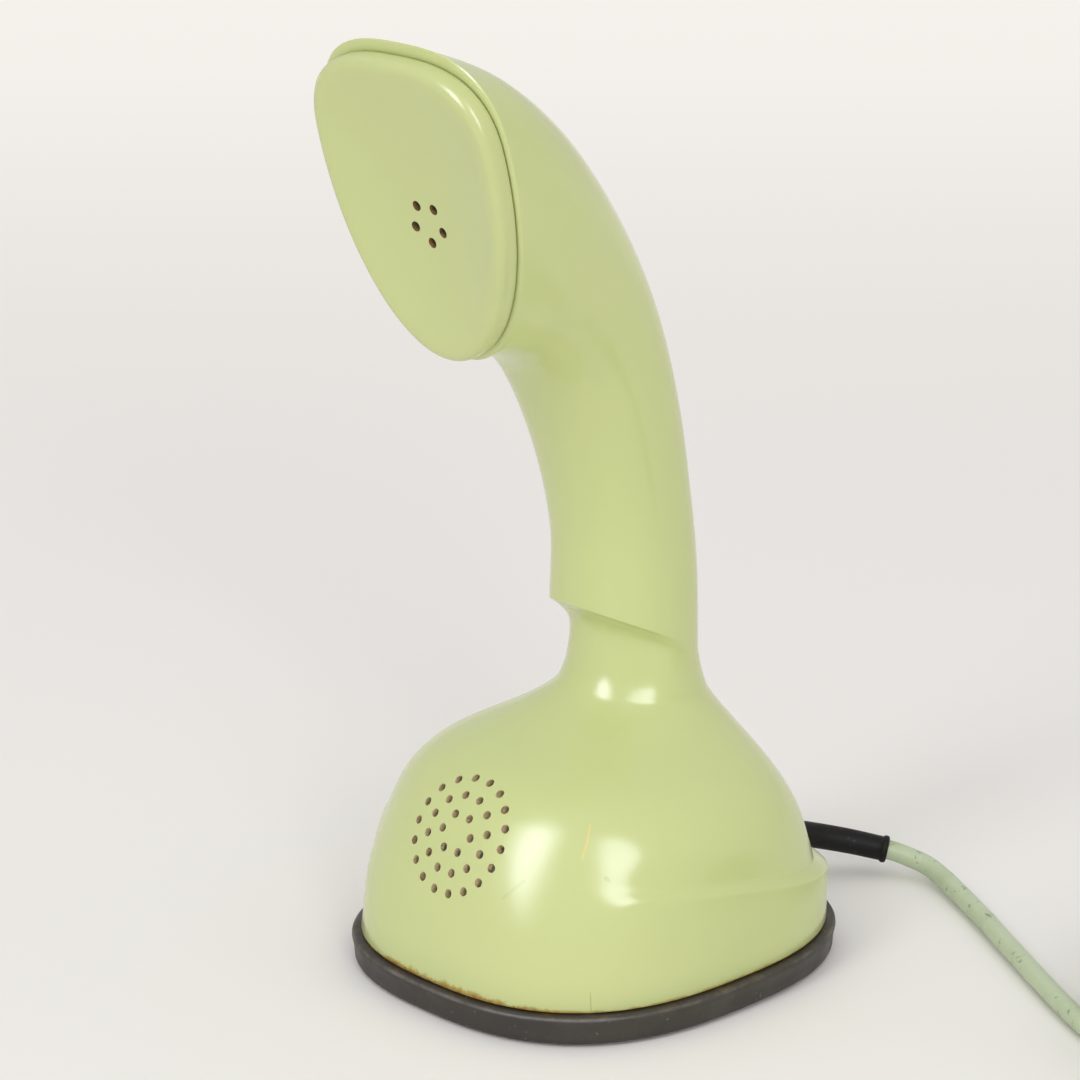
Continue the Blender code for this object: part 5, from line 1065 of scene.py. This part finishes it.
# %% Floor
floor_bm = bmesh.new()
bmesh.ops.create_grid(floor_bm, x_segments=2, y_segments=2, size=6)
floor_mesh = bpy.data.meshes.new("floor")
floor_bm.to_mesh(floor_mesh)
floor_bm.free()
floor = new_object("floor", floor_mesh)
floor.location.z = -0.0005
floor_paint = Finish("floor_paint", (0.86, 0.845, 0.83), 0.75)
fill(floor_paint.shader, Specular_IOR_Level=0)
floor_mesh.materials.append(floor_paint.material)
print("floor:", [round(side) for side in floor.dimensions], "m")

# %% Darker in front and a backdrop behind
turned_y = floor_paint.math("MULTIPLY", floor_paint.height("Y"), math.cos(AZIMUTH))
turned_x = floor_paint.math("MULTIPLY", floor_paint.height("X"), math.sin(AZIMUTH))
away = floor_paint.math("SUBTRACT", turned_y, turned_x)  # how far behind the telephone
# painted shade: the floor is painted darker towards the camera and the lamps, from 0.35 m out
floor_paint.tint(floor_paint.ramp(away, -1.4, -0.35, 1, 0), (0.5, 0.49, 0.48))
glow = floor_paint.add("ShaderNodeEmission")
fill(glow, Color=(0.91, 0.885, 0.84, 1))
rays = floor_paint.add("ShaderNodeLightPath").outputs
seen = floor_paint.math("MAXIMUM", rays["Is Camera Ray"], rays["Is Glossy Ray"])
seen = floor_paint.math("MAXIMUM", seen, rays["Is Transmission Ray"])
share = floor_paint.math("MULTIPLY", seen, floor_paint.ramp(away, 0.2, 1.3))
backdrop = floor_paint.add("ShaderNodeMixShader")
floor_paint.join(share, backdrop.inputs["Fac"])
floor_paint.join(floor_paint.shader.outputs["BSDF"], backdrop.inputs[1])
floor_paint.join(glow.outputs["Emission"], backdrop.inputs[2])
surface = floor_paint.tree.nodes["Material Output"].inputs["Surface"]
floor_paint.join(backdrop.outputs["Shader"], surface)
print("floor nodes:", len(floor_paint.tree.nodes))

# %% Sky
world = bpy.data.worlds.new("studio")
bpy.context.scene.world = world
world.use_nodes = True
sky = world.node_tree.nodes["Background"]
fill(sky, Color=(1, 0.99, 0.975, 1), Strength=0.68)
bpy.context.scene.view_settings.view_transform = "Standard"
print("sky strength:", round(sky.inputs["Strength"].default_value, 2))

# %% [markdown]
# ## Lamps
# Two softboxes stand to the left and the right of the camera, and their mirror images are the
# bright patches on the dome. One lamp for each could do both, but bright enough for the patches it
# would bleach the green. So three plain lamps only light, and four cooler ones are only seen
# mirrored. These are pairs, a large one round a small one, which gives the patches soft edges.

# %% Softbox
WARM, COOL = (1, 0.99, 0.97), (0.78, 0.79, 1)


def softbox(name, place, aim, size, power, mirrored=False):
    """An area lamp, with its place and size in metres, that either lights or is only mirrored."""
    lamp_data = bpy.data.lights.new(name, "AREA")
    lamp_data.shape = "ELLIPSE" if mirrored else "RECTANGLE"
    lamp_data.size, lamp_data.size_y = size
    lamp_data.energy = power
    lamp_data.color = COOL if mirrored else WARM
    lamp = new_object(name, lamp_data)
    lamp.location = place
    lamp.visible_diffuse, lamp.visible_glossy = not mirrored, mirrored
    lamp.rotation_euler = (Vector(place) - Vector(aim)).to_track_quat("Z", "Y").to_euler()
    print(name, "gives", power, "W")


# %% Lamps
softbox("right_lamp", (1.8, -1.0, 0.8), (0, 0, 0.08), (0.6, 0.9), 12)
softbox("left_lamp", (0.1, -1.75, 1.5), (0, 0, 0.08), (0.5, 1.0), 10)
softbox("top_lamp", (0, 0, 2.4), (0, 0, 0), (3, 3), 8)
softbox("right_glint", (1.58, -0.81, 1.2), (0, 0, 0.05), (1.0, 1.5), 20, mirrored=True)
softbox("right_core", (1.57, -0.81, 1.19), (0, 0, 0.05), (0.8, 1.2), 5, mirrored=True)
softbox("left_glint", (0, -1.62, 1.2), (0, 0, 0.05), (1.0, 1.9), 19, mirrored=True)
softbox("left_core", (-0.04, -1.6, 1.1), (0, 0, 0.05), (0.6, 1.25), 13, mirrored=True)
